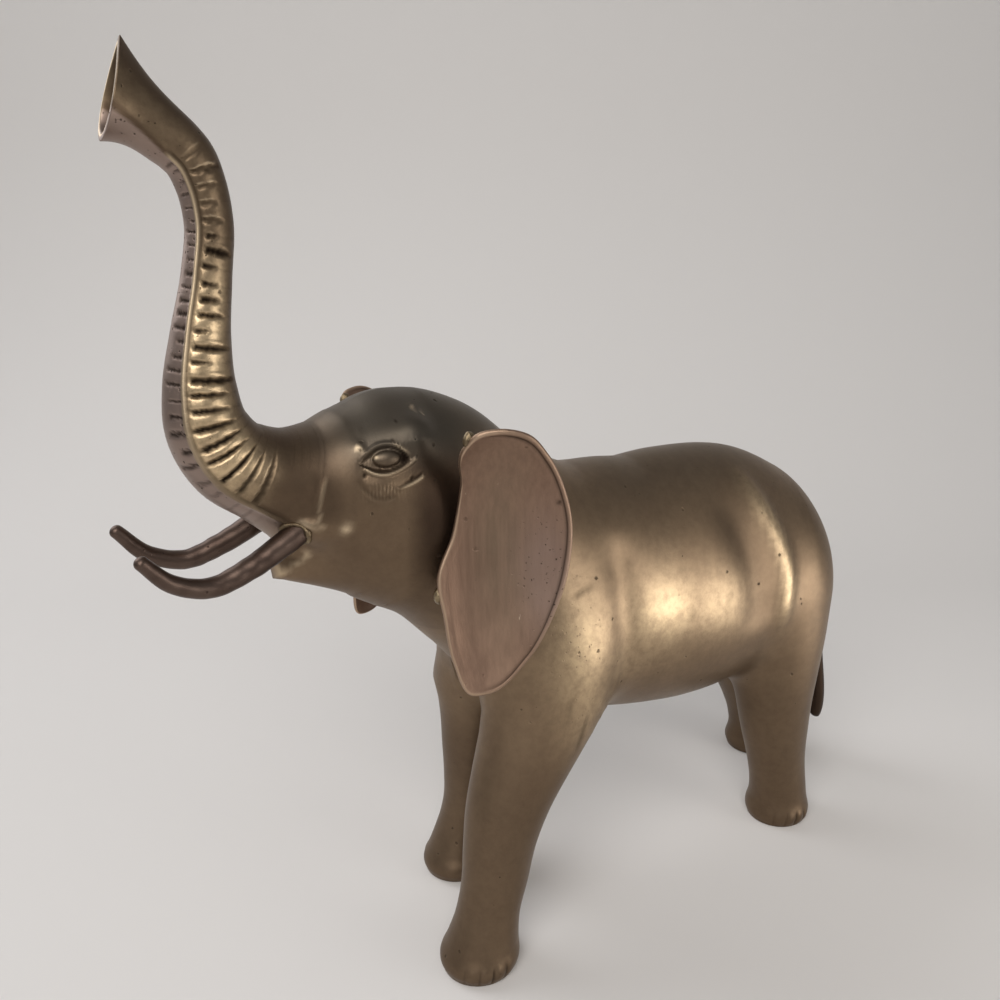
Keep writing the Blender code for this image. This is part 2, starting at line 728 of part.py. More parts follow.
def ear_x(y, z):
    """How far out the ear's plate stands at a y, z place of the left side."""
    root_x, root_y, root_z = EAR_ROOT
    top = np.maximum(z - root_z, 0.0) / EAR_TOP_REACH
    foot = np.maximum(root_z - z, 0.0) / EAR_FOOT_REACH
    rear = np.maximum(y - root_y, 0.0)
    return root_x + EAR_TOP_FLARE * top ** 2 + EAR_FOOT_FLARE * foot ** 2 + EAR_REAR_FLARE * rear


def closed_curve(places, count):
    """Evenly spaced points on a smooth closed curve through the places."""
    lap = len(places)
    rows = smooth_rows(list(places) * 3, 0.25)
    chord = np.linalg.norm(np.diff(np.array(list(places) * 3), axis=0), axis=1)
    total = chord.sum()
    start = chord[:lap].sum() / total * (len(rows) - 1)
    end = chord[:2 * lap].sum() / total * (len(rows) - 1)
    where = start + (end - start) * np.arange(count) / count
    numbers = np.arange(len(rows))
    return np.stack([np.interp(where, numbers, rows[:, column]) for column in (0, 1)], axis=1)


def ear_points(lead):
    """An ear's two faces as circles of points from its rim to its middle, in units, for the left side."""
    rim = closed_curve(EAR_OUTLINE, EAR_SPOKES)
    middle = np.array(EAR_CENTRE)
    shares = [1.0, 0.97] + [1.0 - circle / EAR_CIRCLES for circle in range(1, EAR_CIRCLES)]
    flat = np.concatenate([middle + (rim - middle) * share for share in shares] + [middle[None, :]])
    y, z = flat[:, 0], flat[:, 1]
    x = ear_x(y, z)
    step = 0.5
    slope_y = (ear_x(y + step, z) - ear_x(y - step, z)) / (2 * step)
    slope_z = (ear_x(y, z + step) - ear_x(y, z - step)) / (2 * step)
    normal = np.stack((np.ones(len(x)), -slope_y, -slope_z), axis=1)
    normal /= np.linalg.norm(normal, axis=1)[:, None]
    place = np.stack((x, y + lead, z), axis=1)
    half = 0.5 * EAR_THICKNESS / UNIT
    clear = half + (FIT_GAP + EAR_CLEARANCE) / UNIT
    short = clear - body_distance(place)
    place[:, 0] += 0.5 * (short + np.hypot(short, EAR_EASE))
    for _ in range(6):
        short = np.maximum(clear - body_distance(place), 0.0)
        place = place + short[:, None] * np.array((1.0, 0.0, 0.0))
    edge = np.where(np.arange(len(x)) < EAR_SPOKES, 0.6, 1.0)[:, None]
    return place + normal * half * edge, place - normal * half * edge, len(shares)


def new_object(name, points, faces, material):
    """A mesh object from points in units, moved to the frame of the part."""
    mesh = bpy.data.meshes.new(name)
    mesh.from_pydata([tuple(point) for point in np.asarray(points) * UNIT], [], faces)
    form = bmesh.new()
    form.from_mesh(mesh)
    unused = [vertex for vertex in form.verts if not vertex.link_faces]
    bmesh.ops.delete(form, geom=unused, context="VERTS")
    bmesh.ops.recalc_face_normals(form, faces=form.faces)
    form.to_mesh(mesh)
    form.free()
    mesh.shade_smooth()
    mesh.set_sharp_from_angle(angle=math.radians(50.0))
    mesh.materials.append(material)
    piece = bpy.data.objects.new(name, mesh)
    bpy.context.scene.collection.objects.link(piece)
    return piece


def build_ear(name, side, material):
    outer, inner, circles = ear_points(0.0 if side > 0 else RIGHT_EAR_LEAD)
    turn = np.array((side, 1.0, 1.0))
    points = np.concatenate((outer, inner)) * turn
    half = len(outer)
    faces = []
    for sheet in (0, half):
        for circle in range(circles - 1):
            for spoke in range(EAR_SPOKES):
                a = sheet + circle * EAR_SPOKES
                following = (spoke + 1) % EAR_SPOKES
                faces.append((a + spoke, a + following, a + EAR_SPOKES + following, a + EAR_SPOKES + spoke))
        a = sheet + (circles - 1) * EAR_SPOKES
        for spoke in range(EAR_SPOKES):
            faces.append((a + spoke, a + (spoke + 1) % EAR_SPOKES, sheet + half - 1))
    for spoke in range(EAR_SPOKES):
        following = (spoke + 1) % EAR_SPOKES
        faces.append((spoke, following, half + following, half + spoke))
    return new_object(name, points, faces, material)


def tusk_rows(side):
    """Places and radii along a tusk, in units, from the floor of its socket to its tip."""
    rows = smooth_rows([(y, z, x) for x, y, z in TUSK_CURVE], 0.5)
    places = np.stack((side * rows[:, 2], rows[:, 0], rows[:, 1]), axis=1)
    places = places[int(np.argmax(body_distance(places) > 0.0)):]
    run = np.concatenate(([0.0], np.cumsum(np.linalg.norm(np.diff(places, axis=0), axis=1))))
    inward = places[0] - places[4]
    inward /= np.linalg.norm(inward)
    root = places[0] + inward * (SOCKET_DEPTH - FIT_GAP) / UNIT
    where = np.linspace(0.0, run[-1], TUSK_RINGS)
    line = np.stack([np.interp(where, run, places[:, column]) for column in range(3)], axis=1)
    share = where / run[-1]
    thick = 0.5 * TUSK_DIAMETER / UNIT
    thin = 0.5 * TUSK_TIP_DIAMETER / UNIT
    radius = thick + (thin - thick) * share ** 1.6
    return np.concatenate(([root], line)), np.concatenate(([thick], radius)), inward


def build_tusk(name, side, material):
    line, radius, inward = tusk_rows(side)
    end = line[-1] + (line[-1] - line[-2]) / np.linalg.norm(line[-1] - line[-2]) * radius[-1]
    line = np.concatenate((line, [line[-1] * 0.35 + end * 0.65]))
    radius = np.concatenate((radius, [radius[-1] * 0.68]))
    run = np.gradient(line, axis=0)
    run /= np.linalg.norm(run, axis=1)[:, None]
    angle = ring_angles(TUSK_SEGMENTS)
    skin = Skin()
    rings = []
    for place, thick, along in zip(line, radius, run):
        across = np.cross(along, (1.0, 0.0, 0.0))
        across /= np.linalg.norm(across)
        other = np.cross(along, across)
        ring = place + thick * (np.cos(angle)[:, None] * across + np.sin(angle)[:, None] * other)
        rings.append(skin.add_ring(ring))
    for upper, lower in zip(rings, rings[1:]):
        skin.join(upper, lower)
    skin.faces.append(tuple(rings[0]))
    skin.close(rings[-1], end)
    return new_object(name, skin.points, skin.faces, material)


def bore_socket(casting, side):
    """A round bore in the face for a tusk, deeper and wider than the tusk by the fit gap."""
    line, radius, inward = tusk_rows(side)
    bottom = line[0] * UNIT + inward * FIT_GAP
    length = SOCKET_DEPTH + SOCKET_LEAD
    bpy.ops.mesh.primitive_cylinder_add(
        vertices=TUSK_SEGMENTS * 2,
        radius=0.5 * TUSK_DIAMETER + FIT_GAP,
        depth=length,
        location=tuple(bottom - inward * 0.5 * length),
        rotation=tuple(Vector(inward).to_track_quat("Z", "Y").to_euler()),
    )
    cutter = bpy.context.active_object
    cutter.name = "socket_cutter_left" if side > 0 else "socket_cutter_right"
    cutter.hide_render = True
    cutter.display_type = "WIRE"
    cut = casting.modifiers.new(cutter.name, "BOOLEAN")
    cut.operation = "DIFFERENCE"
    cut.object = cutter
    return cutter


def brass(name, colour, roughness):
    """A plain metal of the piece's own colour."""
    material = bpy.data.materials.new(name)
    material.use_nodes = True
    shader = material.node_tree.nodes["Principled BSDF"]
    shader.inputs["Base Color"].default_value = (*colour, 1.0)
    shader.inputs["Metallic"].default_value = 1.0
    shader.inputs["Roughness"].default_value = roughness
    return material


def main():
    for old in list(bpy.data.objects):
        bpy.data.objects.remove(old, do_unlink=True)
    cast_brass = brass("cast_brass", (0.24, 0.17, 0.09), 0.40)
    ear_copper = brass("ear_copper", (0.26, 0.15, 0.10), 0.45)
    tusk_bronze = brass("tusk_bronze", (0.14, 0.10, 0.07), 0.38)
    points, faces = settled_casting()
    casting = new_object("elephant_casting", points, faces, cast_brass)
    carve_eyes(casting)
    pieces = [casting]
    for side, word in ((1, "left"), (-1, "right")):
        pieces.append(build_ear(word + "_ear", side, ear_copper))
        pieces.append(build_tusk(word + "_tusk", side, tusk_bronze))
        pieces.append(bore_socket(casting, side))
    solid = [piece for piece in pieces if not piece.hide_render]
    corners = np.array([vertex.co for piece in solid for vertex in piece.data.vertices])
    middle = 0.5 * (corners.min(axis=0) + corners.max(axis=0))
    shift = Vector((-middle[0], -middle[1], 0.0))
    for piece in pieces:
        piece.location += shift


if __name__ == "__main__":
    main()
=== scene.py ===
# %% [markdown]
# # A brass elephant with its trunk raised
# The statue is one hollow casting with two flat ears and two thin tusks brazed on.
# The imported solids come in first as a fixed frame, and each one is then replaced by a finer
# skin of the same form. The box round the solids is kept.

import math

import bmesh
import bpy
import numpy as np
from mathutils import Matrix, Vector


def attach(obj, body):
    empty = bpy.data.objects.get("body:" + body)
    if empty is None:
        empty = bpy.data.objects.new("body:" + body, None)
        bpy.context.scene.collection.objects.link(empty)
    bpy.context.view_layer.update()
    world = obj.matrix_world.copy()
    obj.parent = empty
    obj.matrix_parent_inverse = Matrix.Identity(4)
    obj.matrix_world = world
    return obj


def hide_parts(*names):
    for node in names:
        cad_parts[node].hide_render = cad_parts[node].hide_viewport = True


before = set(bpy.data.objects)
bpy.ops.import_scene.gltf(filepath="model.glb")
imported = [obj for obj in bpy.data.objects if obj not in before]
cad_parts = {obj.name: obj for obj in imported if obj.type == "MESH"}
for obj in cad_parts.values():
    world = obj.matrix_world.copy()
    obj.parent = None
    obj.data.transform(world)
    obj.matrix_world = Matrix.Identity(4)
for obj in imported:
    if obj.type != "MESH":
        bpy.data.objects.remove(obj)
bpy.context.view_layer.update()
print("solids:", sorted(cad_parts))

# %% [markdown]
# ## Drawing units
# The statue was drawn in millimetres with its feet in the middle. The frame's origin is in the
# middle of the whole box instead, so everything moves back a little on its way into the scene.

# %% Units
UNIT = 0.001
SHIFT = np.array((0.0, 40.17, 0.0))


def placed(points):
    """Drawn points, in millimetres, as metres in the frame."""
    return (np.asarray(points, float) + SHIFT) * UNIT


print("one unit is", UNIT, "m")

# %% [markdown]
# ## The long form
# Body, neck, head and trunk are one bar that bends. A few stations give its middle, height, width
# and how far the section sags, and a smooth curve runs through them. Sculpting by hand could give
# the same form, but stations can be read, changed and used again.

# %% Stations of body, head and trunk
# y, z, half height, half width, sag
SPINE_STATIONS = (
    (70.0, 133.4, 52.9, 41.5, 0.10),
    (40.0, 139.6, 59.6, 44.0, 0.12),
    (10.0, 141.4, 60.6, 44.5, 0.12),
    (-20.0, 144.3, 57.6, 43.0, 0.10),
    (-44.0, 150.6, 55.2, 41.0, 0.06),
    (-64.0, 160.0, 50.0, 38.5, 0.03),
    (-82.0, 173.0, 44.6, 36.0, 0.00),
    (-99.3, 187.0, 41.6, 33.6, 0.00),
    (-115.3, 198.6, 42.4, 31.6, -0.04),
    (-132.7, 205.7, 39.4, 29.4, -0.06),
    (-148.0, 209.4, 31.2, 25.6, -0.08),
    (-161.0, 212.9, 22.9, 21.0, -0.08),
    (-173.0, 217.9, 17.5, 18.2, -0.04),
    (-184.0, 225.2, 15.6, 16.4, 0.00),
    (-190.4, 236.4, 14.0, 14.8, 0.00),
    (-191.6, 250.0, 12.1, 12.6, 0.00),
    (-189.6, 266.5, 9.9, 10.3, 0.00),
    (-185.6, 286.0, 8.2, 8.5, 0.00),
    (-183.2, 303.0, 7.9, 8.0, 0.00),
    (-184.6, 314.0, 8.1, 8.3, 0.00),
    (-187.2, 321.0, 8.5, 8.6, 0.00),
    (-191.9, 326.4, 8.9, 9.0, 0.00),
)
# The rump closes over this length, already sloping where it starts
RUMP_LENGTH = 38.6
RUMP_LEAD = 16.0


def smooth_rows(stations, step):
    """Rows on a smooth curve through the stations, about one step apart along the first columns."""
    rows = np.asarray(stations, float)
    chord = np.linalg.norm(np.diff(rows[:, :2], axis=0), axis=1)
    at = np.concatenate(([0.0], np.cumsum(chord)))
    slope = np.diff(rows, axis=0) / chord[:, None]
    tangent = np.empty_like(rows)
    tangent[0] = slope[0]
    tangent[-1] = slope[-1]
    weight = (chord[1:] / (chord[1:] + chord[:-1]))[:, None]
    tangent[1:-1] = weight * slope[:-1] + (1.0 - weight) * slope[1:]
    where = np.linspace(0.0, at[-1], int(round(at[-1] / step)) + 1)
    span = np.clip(np.searchsorted(at, where, side="right") - 1, 0, len(chord) - 1)
    width = chord[span][:, None]
    t = ((where - at[span]) / chord[span])[:, None]
    start = (1 + 2 * t) * (1 - t) ** 2 * rows[span] + t * (1 - t) ** 2 * width * tangent[span]
    end = t ** 2 * (3 - 2 * t) * rows[span + 1] - t ** 2 * (1 - t) * width * tangent[span + 1]
    return start + end


SPINE = smooth_rows(SPINE_STATIONS, 1.0)
ROW_NUMBERS = np.arange(len(SPINE))
SPINE_TANGENT = np.gradient(SPINE[:, :2], axis=0)
SPINE_TANGENT /= np.linalg.norm(SPINE_TANGENT, axis=1)[:, None]
SPINE_UP = np.stack((SPINE_TANGENT[:, 1], -SPINE_TANGENT[:, 0]), axis=1)
print("spine rows:", len(SPINE))

# %% [markdown]
# ## Finding a point on the spine
# Every detail is told by its place along the spine and its turn round it. A coarse look along
# the spine finds the neighbourhood, and a fine look in it finds the row.

# %% Place along the spine
COARSE_STEP = 8


def spine_place(points):
    """Row along the spine, height up from it, and distance past its start."""
    flat = points[:, 1:3]
    coarse = SPINE[::COARSE_STEP, :2]
    reach = np.arange(-COARSE_STEP, COARSE_STEP + 1)
    row = np.empty(len(points), int)
    batch = 20000
    for first in range(0, len(points), batch):
        part = flat[first:first + batch]
        near = ((part[:, None, :] - coarse[None]) ** 2).sum(axis=2).argmin(axis=1) * COARSE_STEP
        choice = np.clip(near[:, None] + reach[None], 0, len(SPINE) - 1)
        gap = ((part[:, None, :] - SPINE[choice, :2]) ** 2).sum(axis=2)
        row[first:first + batch] = choice[np.arange(len(part)), gap.argmin(axis=1)]
    along = ((flat - SPINE[row, :2]) * SPINE_TANGENT[row]).sum(axis=1)
    exact = np.clip(row + along, 0.0, len(SPINE) - 1.0)
    low = np.minimum(exact.astype(int), len(SPINE) - 2)
    t = (exact - low)[:, None]
    centre = SPINE[low, :2] * (1 - t) + SPINE[low + 1, :2] * t
    up = SPINE_UP[low] * (1 - t) + SPINE_UP[low + 1] * t
    height = ((flat - centre) * up).sum(axis=1)
    past = np.maximum(-(flat - SPINE[0, :2]) @ SPINE_TANGENT[0], 0.0)
    return exact, height, past


def long_form_distance(points):
    """Signed distance, near enough, to the long form."""
    exact, height, past = spine_place(points)
    tall, wide, sag = [np.interp(exact, ROW_NUMBERS, SPINE[:, column]) for column in (2, 3, 4)]
    rise = height / tall
    across = wide * (1.0 - sag * np.clip(rise, -1.0, 1.0))
    close = ((past + RUMP_LEAD) ** 2 - RUMP_LEAD ** 2) / ((RUMP_LENGTH + RUMP_LEAD) ** 2 - RUMP_LEAD ** 2)
    section = np.sqrt((points[:, 0] / across) ** 2 + rise ** 2 + close)
    return (section - 1.0) * np.sqrt(tall * wide)


print("row at the top of the trunk:", len(SPINE) - 1)

# %% [markdown]
# ## Legs, jaw and brow
# Each leg is a stack of ovals that leans. The four legs share two profiles, and the walking
# stance comes from where each foot stands and how far its hip slides back. Forms melt into
# each other with a fillet, as wax does in a casting pattern.

# %% Profiles of the legs and the forms of the head
# z, lean, half width, half length
FRONT_LEG = (
    (0.0, 0.0, 15.6, 15.9),
    (5.0, 0.4, 16.8, 16.9),
    (12.0, 2.0, 15.0, 15.4),
    (22.0, 4.7, 13.4, 13.8),
    (36.0, 9.2, 13.2, 14.4),
    (52.0, 12.8, 14.2, 16.0),
    (68.0, 18.2, 16.4, 18.8),
    (84.0, 26.6, 18.6, 22.8),
    (100.0, 35.4, 21.0, 26.6),
    (125.0, 43.6, 23.5, 29.2),
)
HIND_LEG = (
    (0.0, 0.0, 15.0, 15.2),
    (5.0, 0.2, 16.0, 16.0),
    (12.0, 0.2, 14.6, 14.8),
    (22.0, -0.8, 13.8, 14.6),
    (36.0, -2.8, 14.2, 15.4),
    (52.0, -4.6, 16.0, 17.6),
    (68.0, -5.6, 18.0, 19.6),
    (84.0, -5.2, 20.0, 21.4),
    (100.0, -4.0, 21.5, 22.6),
    (125.0, -2.5, 22.0, 23.0),
)
LEG_TOP = 165.0
HIP_SPREAD = 22.0
# side, foot x, foot y, hip shift, how late it shifts, profile, where its patch starts
LEGS = (
    (1, 28.2, -108.0, 0.0, 1.4, FRONT_LEG, "chest"),
    (-1, 31.6, -84.0, -22.0, 2.4, FRONT_LEG, "chest"),
    (1, 26.4, 77.0, 0.0, 1.4, HIND_LEG, "haunch"),
    (-1, 28.2, 118.2, -34.0, 1.4, HIND_LEG, "haunch"),
)
SPREAD_HEIGHTS = (20.0, 120.0)
SHIFT_HEIGHTS = (15.0, 105.0)
LEG_FILLET = 20.0
# start, end, radius at each, fillet
JAW = ((0.0, -130.0, 184.0), (0.0, -170.0, 184.8), 21.5, 6.2, 9.0)
TUSK_SLEEVE = ((10.0, -140.0, 206.0), (13.6, -159.5, 202.0), 12.0, 7.4, 7.0)
BROW = ((14.0, -144.0, 224.0), (21.0, -125.0, 229.0), 3.0, 5.5, 12.0)


def leg_rows(leg):
    """Rows of a leg: z, x, y, half width, half length."""
    side, foot_x, foot_y, hip_shift, late, profile = leg[:6]
    rows = smooth_rows(profile, 1.0)
    z = rows[:, 0]
    spread = np.interp(z, SPREAD_HEIGHTS, (foot_x, HIP_SPREAD))
    shift = hip_shift * np.interp(z, SHIFT_HEIGHTS, (0.0, 1.0)) ** late
    return np.stack((z, side * spread, foot_y + rows[:, 1] + shift, rows[:, 2], rows[:, 3]), axis=1)


LEG_ROWS = [leg_rows(leg) for leg in LEGS]


def leg_distance(points, rows):
    """Signed distance, near enough, to one leg."""
    z = np.clip(points[:, 2], 0.0, rows[-1, 0])
    x, y, wide, long = [np.interp(z, rows[:, 0], rows[:, column]) for column in (1, 2, 3, 4)]
    above = np.maximum(points[:, 2] - rows[-1, 0], 0.0) / (LEG_TOP - rows[-1, 0])
    across = (points[:, 0] - x) / wide
    along = (points[:, 1] - y) / long
    return (np.sqrt(across ** 2 + along ** 2 + above ** 2) - 1.0) * np.sqrt(wide * long)


def bar_distance(points, start, end, first, last):
    """Signed distance to a round bar that tapers."""
    start = np.asarray(start, float)
    axis = np.asarray(end, float) - start
    t = np.clip((points - start) @ axis / (axis @ axis), 0.0, 1.0)
    nearest = start + t[:, None] * axis
    return np.linalg.norm(points - nearest, axis=1) - (first + t * (last - first))


def smooth_min(a, b, reach):
    """The smaller of two distances, with a fillet where they meet."""
    h = np.maximum(reach - np.abs(a - b), 0.0) / reach
    return np.minimum(a, b) - h ** 3 * reach / 6.0


def body_distance(points):
    """Signed distance, near enough, to the whole casting without its tail."""
    value = long_form_distance(points)
    for rows in LEG_ROWS:
        value = smooth_min(value, leg_distance(points, rows), LEG_FILLET)
    start, end, first, last, fillet = JAW
    value = smooth_min(value, bar_distance(points, start, end, first, last), fillet)
    mirrored = points * (np.sign(points[:, :1]) * (1, 0, 0) + (0, 1, 1))
    for start, end, first, last, fillet in (TUSK_SLEEVE, BROW):
        value = smooth_min(value, bar_distance(mirrored, start, end, first, last), fillet)
    return value


def settle(points, turns=2, limit=6.0):
    """Points moved onto the form, down its slope, which is found afresh each turn."""
    step = 0.05
    for _ in range(turns):
        here = body_distance(points)
        slope = np.stack([body_distance(points + step * axis) - here for axis in np.eye(3)], axis=1) / step
        size = np.maximum((slope ** 2).sum(axis=1), 1e-3)
        move = -(here / size)[:, None] * slope
        length = np.maximum(np.linalg.norm(move, axis=1), 1e-9)
        points = points + move * np.minimum(1.0, limit / length)[:, None]
    return points


print("middle of the chest lies inside the form by",
      -round(float(body_distance(np.array([[0.0, -20.0, 145.0]]))[0]), 1), "mm")

# %% [markdown]
# ## A cage of rings
# The skin starts as rings round the spine, joined by four-sided faces. A leg grows out of a patch
# of four by four faces, so its sixteen edges meet a ring of sixteen points. A subdivision surface
# then rounds the cage, and every point is settled back onto the form.

# %% The cage
BODY_SEGMENTS = 24
LEG_SEGMENTS = 16
PATCH = 4
PATCH_FIRST_FACET = 7
HAUNCH_RINGS = (0, 13, 26)
BELLY_RINGS = (39, 51, 63, 75, 87, 98)
CHEST_RINGS = (108, 118, 130, 142, 154)
HEAD_RINGS = tuple(range(162, 254, 4))
TRUNK_RING_STEP = 1.7
JAW_ROW = 205
JAW_REACH = 48.0
JAW_STEP = 0.25
JAW_RISE = -0.1
RAY_REACH = 90.0
RUMP_RING_COUNT = 6
LEG_RINGS = (84.0, 74.0, 62.0, 50.0, 38.0, 28.0, 19.0, 12.0, 7.0, 3.0, 0.8, 0.0)
TAIL_STATIONS = (
    (103.0, 160.0, 7.0),
    (111.6, 157.5, 5.2),
    (119.6, 148.0, 4.2),
    (125.6, 126.0, 3.4),
    (131.0, 95.0, 2.7),
    (135.0, 64.0, 2.6),
    (136.8, 46.0, 4.4),
    (137.5, 31.0, 4.4),
    (137.5, 25.0, 2.6),
)
TAIL_END = (140.0, 23.5)
LIP = (-212.2, 325.2)
FINGER = (-203.0, 355.0)
MOUTH_HALF_WIDTH = 9.4
MOUTH_WAIST = 0.13
MOUTH_WALL = 1.8
MOUTH_DEPTH = 13.0
# The hollow's rings are numbered from here, for its shade
MOUTH_ROW = 500.0
MOUTH_SWELL = 1.27
MOUTH_TAPER = 0.45
MOUTH_SHARES = (0.15, 0.3, 0.45, 0.6, 0.75, 0.88, 0.95, 0.985)
HOLLOW_MIDDLE = 0.40
# Share of the wall's ring, and depth in from the rim
HOLLOW_RINGS = ((1.07, -0.35), (1.0, 0.1), (0.95, 1.2), (0.80, 4.0), (0.55, 8.0), (0.30, 11.5))


def ring_angles(count):
    return 2.0 * math.pi * np.arange(count) / count


def spine_ring(row):
    """One ring of the long form, from its top round by the left side."""
    y, z, tall, wide, sag = [np.interp(row, ROW_NUMBERS, SPINE[:, column]) for column in range(5)]
    up = [np.interp(row, ROW_NUMBERS, SPINE_UP[:, column]) for column in range(2)]
    angle = ring_angles(BODY_SEGMENTS)
    rise = tall * np.cos(angle)
    across = wide * (1.0 - sag * np.cos(angle)) * np.sin(angle)
    return np.stack((across, y + rise * up[0], z + rise * up[1]), axis=1)


def head_ring(row):
    """A ring of the head. Its underside is where rays from the spine last leave the body."""
    ring = spine_ring(row)
    if row < JAW_ROW:
        return ring
    centre_y, centre_z = [np.interp(row, ROW_NUMBERS, SPINE[:, column]) for column in (0, 1)]
    centre = np.array((0.0, centre_y, centre_z))
    under = np.cos(ring_angles(BODY_SEGMENTS)) < JAW_RISE
    ray = ring[under] - centre
    ray /= np.linalg.norm(ray, axis=1)[:, None]
    reach = np.arange(JAW_REACH, 0.0, -JAW_STEP)
    places = centre + ray[:, None, :] * reach[None, :, None]
    inside = body_distance(places.reshape(-1, 3)).reshape(len(ray), -1) < 0.0
    ring[under] = centre + ray * reach[np.argmax(inside, axis=1)][:, None]
    return ring


def mouth_rings():
    """Out to the rim of the trunk's mouth, and back down inside it."""
    angle = ring_angles(BODY_SEGMENTS)
    lip = np.array((0.0,) + LIP)
    finger = np.array((0.0,) + FINGER)
    length = np.linalg.norm(finger - lip)
    along = (finger - lip) / length
    rim = lip + 0.5 * length * (1.0 + np.cos(angle))[:, None] * along
    rim[:, 0] = MOUTH_HALF_WIDTH * MOUTH_SWELL * np.sin(angle) * (0.5 - 0.5 * np.cos(angle)) ** MOUTH_TAPER
    last = spine_ring(len(SPINE) - 1)
    rings = [last]
    for share in MOUTH_SHARES:
        ring = last + (rim - last) * share
        waist = 1.0 - MOUTH_WAIST * math.sin(math.pi * share)
        rings.append(ring.mean(axis=0) + (ring - ring.mean(axis=0)) * waist)
    rings.append(rim)
    middle = lip + HOLLOW_MIDDLE * length * along
    inward = last.mean(axis=0) - middle
    inward /= np.linalg.norm(inward)
    wall = 1.0 - MOUTH_WALL / MOUTH_HALF_WIDTH
    for scale, depth in HOLLOW_RINGS:
        rings.append(middle + (rim - middle) * wall * scale + inward * depth)
    return rings, middle + inward * MOUTH_DEPTH


def tail_rings():
    """The tail from its tip to its root."""
    rows = np.array(TAIL_STATIONS)[::-1]
    run = np.gradient(rows[:, :2], axis=0)
    run /= np.linalg.norm(run, axis=1)[:, None]
    angle = ring_angles(BODY_SEGMENTS)
    rings = []
    for (y, z, radius), (run_y, run_z) in zip(rows, run):
        rise = radius * np.cos(angle)
        rings.append(np.stack((radius * np.sin(angle), y + rise * run_z, z - rise * run_y), axis=1))
    return rings


def rump_rings():
    """Rings over the rump, from the tail's root to the first ring of the body."""
    centre = np.array((0.0, SPINE[0, 0], SPINE[0, 1]))
    root_y, root_z, root_radius = TAIL_STATIONS[0]
    offset = (root_y - centre[1], root_z - centre[2])
    root_rise = math.atan2(offset[1], offset[0])
    narrow = root_radius / math.hypot(*offset)
    angle = ring_angles(BODY_SEGMENTS)
    rings = []
    for number in range(1, RUMP_RING_COUNT + 1):
        share = number / (RUMP_RING_COUNT + 1.0)
        rise = root_rise * (1.0 - share)
        cone = narrow + (0.5 * math.pi - narrow) * share
        axis = np.array((0.0, math.cos(rise), math.sin(rise)))
        up = np.array((0.0, -math.sin(rise), math.cos(rise)))
        side = np.sin(angle)[:, None] * np.array((1.0, 0.0, 0.0)) + np.cos(angle)[:, None] * up
        ray = axis * math.cos(cone) + side * math.sin(cone)
        near = np.zeros(BODY_SEGMENTS)
        far = np.full(BODY_SEGMENTS, RAY_REACH)
        for _ in range(20):
            middle = 0.5 * (near + far)
            inside = long_form_distance(centre + ray * middle[:, None]) < 0.0
            near = np.where(inside, middle, near)
            far = np.where(inside, far, middle)
        rings.append(centre + ray * near[:, None])
    return rings


def leg_ring(rows, z):
    """One level ring of a leg."""
    x, y, wide, long = [float(np.interp(z, rows[:, 0], rows[:, column])) for column in (1, 2, 3, 4)]
    angle = ring_angles(LEG_SEGMENTS)
    return np.stack((x + wide * np.cos(angle), y + long * np.sin(angle), np.full(LEG_SEGMENTS, z)), axis=1)


class Skin:
    """Points and faces of a piece while it is put together. Free points settle on the form."""

    def __init__(self):
        self.points = []
        self.faces = []
        self.free = []
        self.row = []
        self.facet = []

    def add_ring(self, ring, free=1.0, row=-100.0):
        first = len(self.points)
        self.points.extend(ring)
        self.free.extend([free] * len(ring))
        self.row.extend([row] * len(ring))
        self.facet.extend(range(len(ring)))
        return list(range(first, first + len(ring)))

    def join(self, upper, lower, skip=()):
        for facet in range(len(upper)):
            if facet not in skip:
                following = (facet + 1) % len(upper)
                self.faces.append((upper[facet], upper[following], lower[following], lower[facet]))

    def close(self, ring, place, row=-100.0):
        pole = self.add_ring([place], free=0.0, row=row)[0]
        for facet in range(len(ring)):
            self.faces.append((ring[facet], ring[(facet + 1) % len(ring)], pole))


def patch_facets(side):
    """The facets of a ring that a leg on this side grows from."""
    left = list(range(PATCH_FIRST_FACET, PATCH_FIRST_FACET + PATCH))
    return left if side > 0 else [BODY_SEGMENTS - 1 - facet for facet in left]


def patch_edge(rings, first, side):
    """The point numbers round a patch, in order."""
    facets = sorted(patch_facets(side))
    columns = facets + [facets[-1] + 1]
    rows = rings[first:first + PATCH + 1]
    edge = [rows[0][column] for column in columns]
    edge += [row[columns[-1]] for row in rows[1:]]
    edge += [rows[-1][column] for column in columns[-2::-1]]
    edge += [row[columns[0]] for row in rows[-2:0:-1]]
    return edge


def grow_leg(skin, edge, rows):
    """A leg from the edge of its patch down to its sole."""
    loop = np.array([skin.points[number] for number in edge])
    turn = np.unwrap(np.arctan2(loop[:, 1] - loop[:, 1].mean(), loop[:, 0] - loop[:, 0].mean()))
    way = 1 if turn[-1] > turn[0] else -1
    start = (turn - ring_angles(LEG_SEGMENTS) * way).mean()
    offset = int(round(start * way / (2.0 * math.pi) * LEG_SEGMENTS))
    order = [(offset + number) * way % LEG_SEGMENTS for number in range(LEG_SEGMENTS)]
    upper = edge
    for z in LEG_RINGS:
        lower = skin.add_ring(leg_ring(rows, z)[order], free=1.0 if z > 2.0 else 0.0)
        skin.join(upper, lower)
        upper = lower
    place = np.array([skin.points[number] for number in upper])
    for share in (0.8, 0.4):
        lower = skin.add_ring(place.mean(axis=0) + (place - place.mean(axis=0)) * share, free=0.0)
        skin.join(upper, lower)
        upper = lower
    skin.close(upper, place.mean(axis=0))


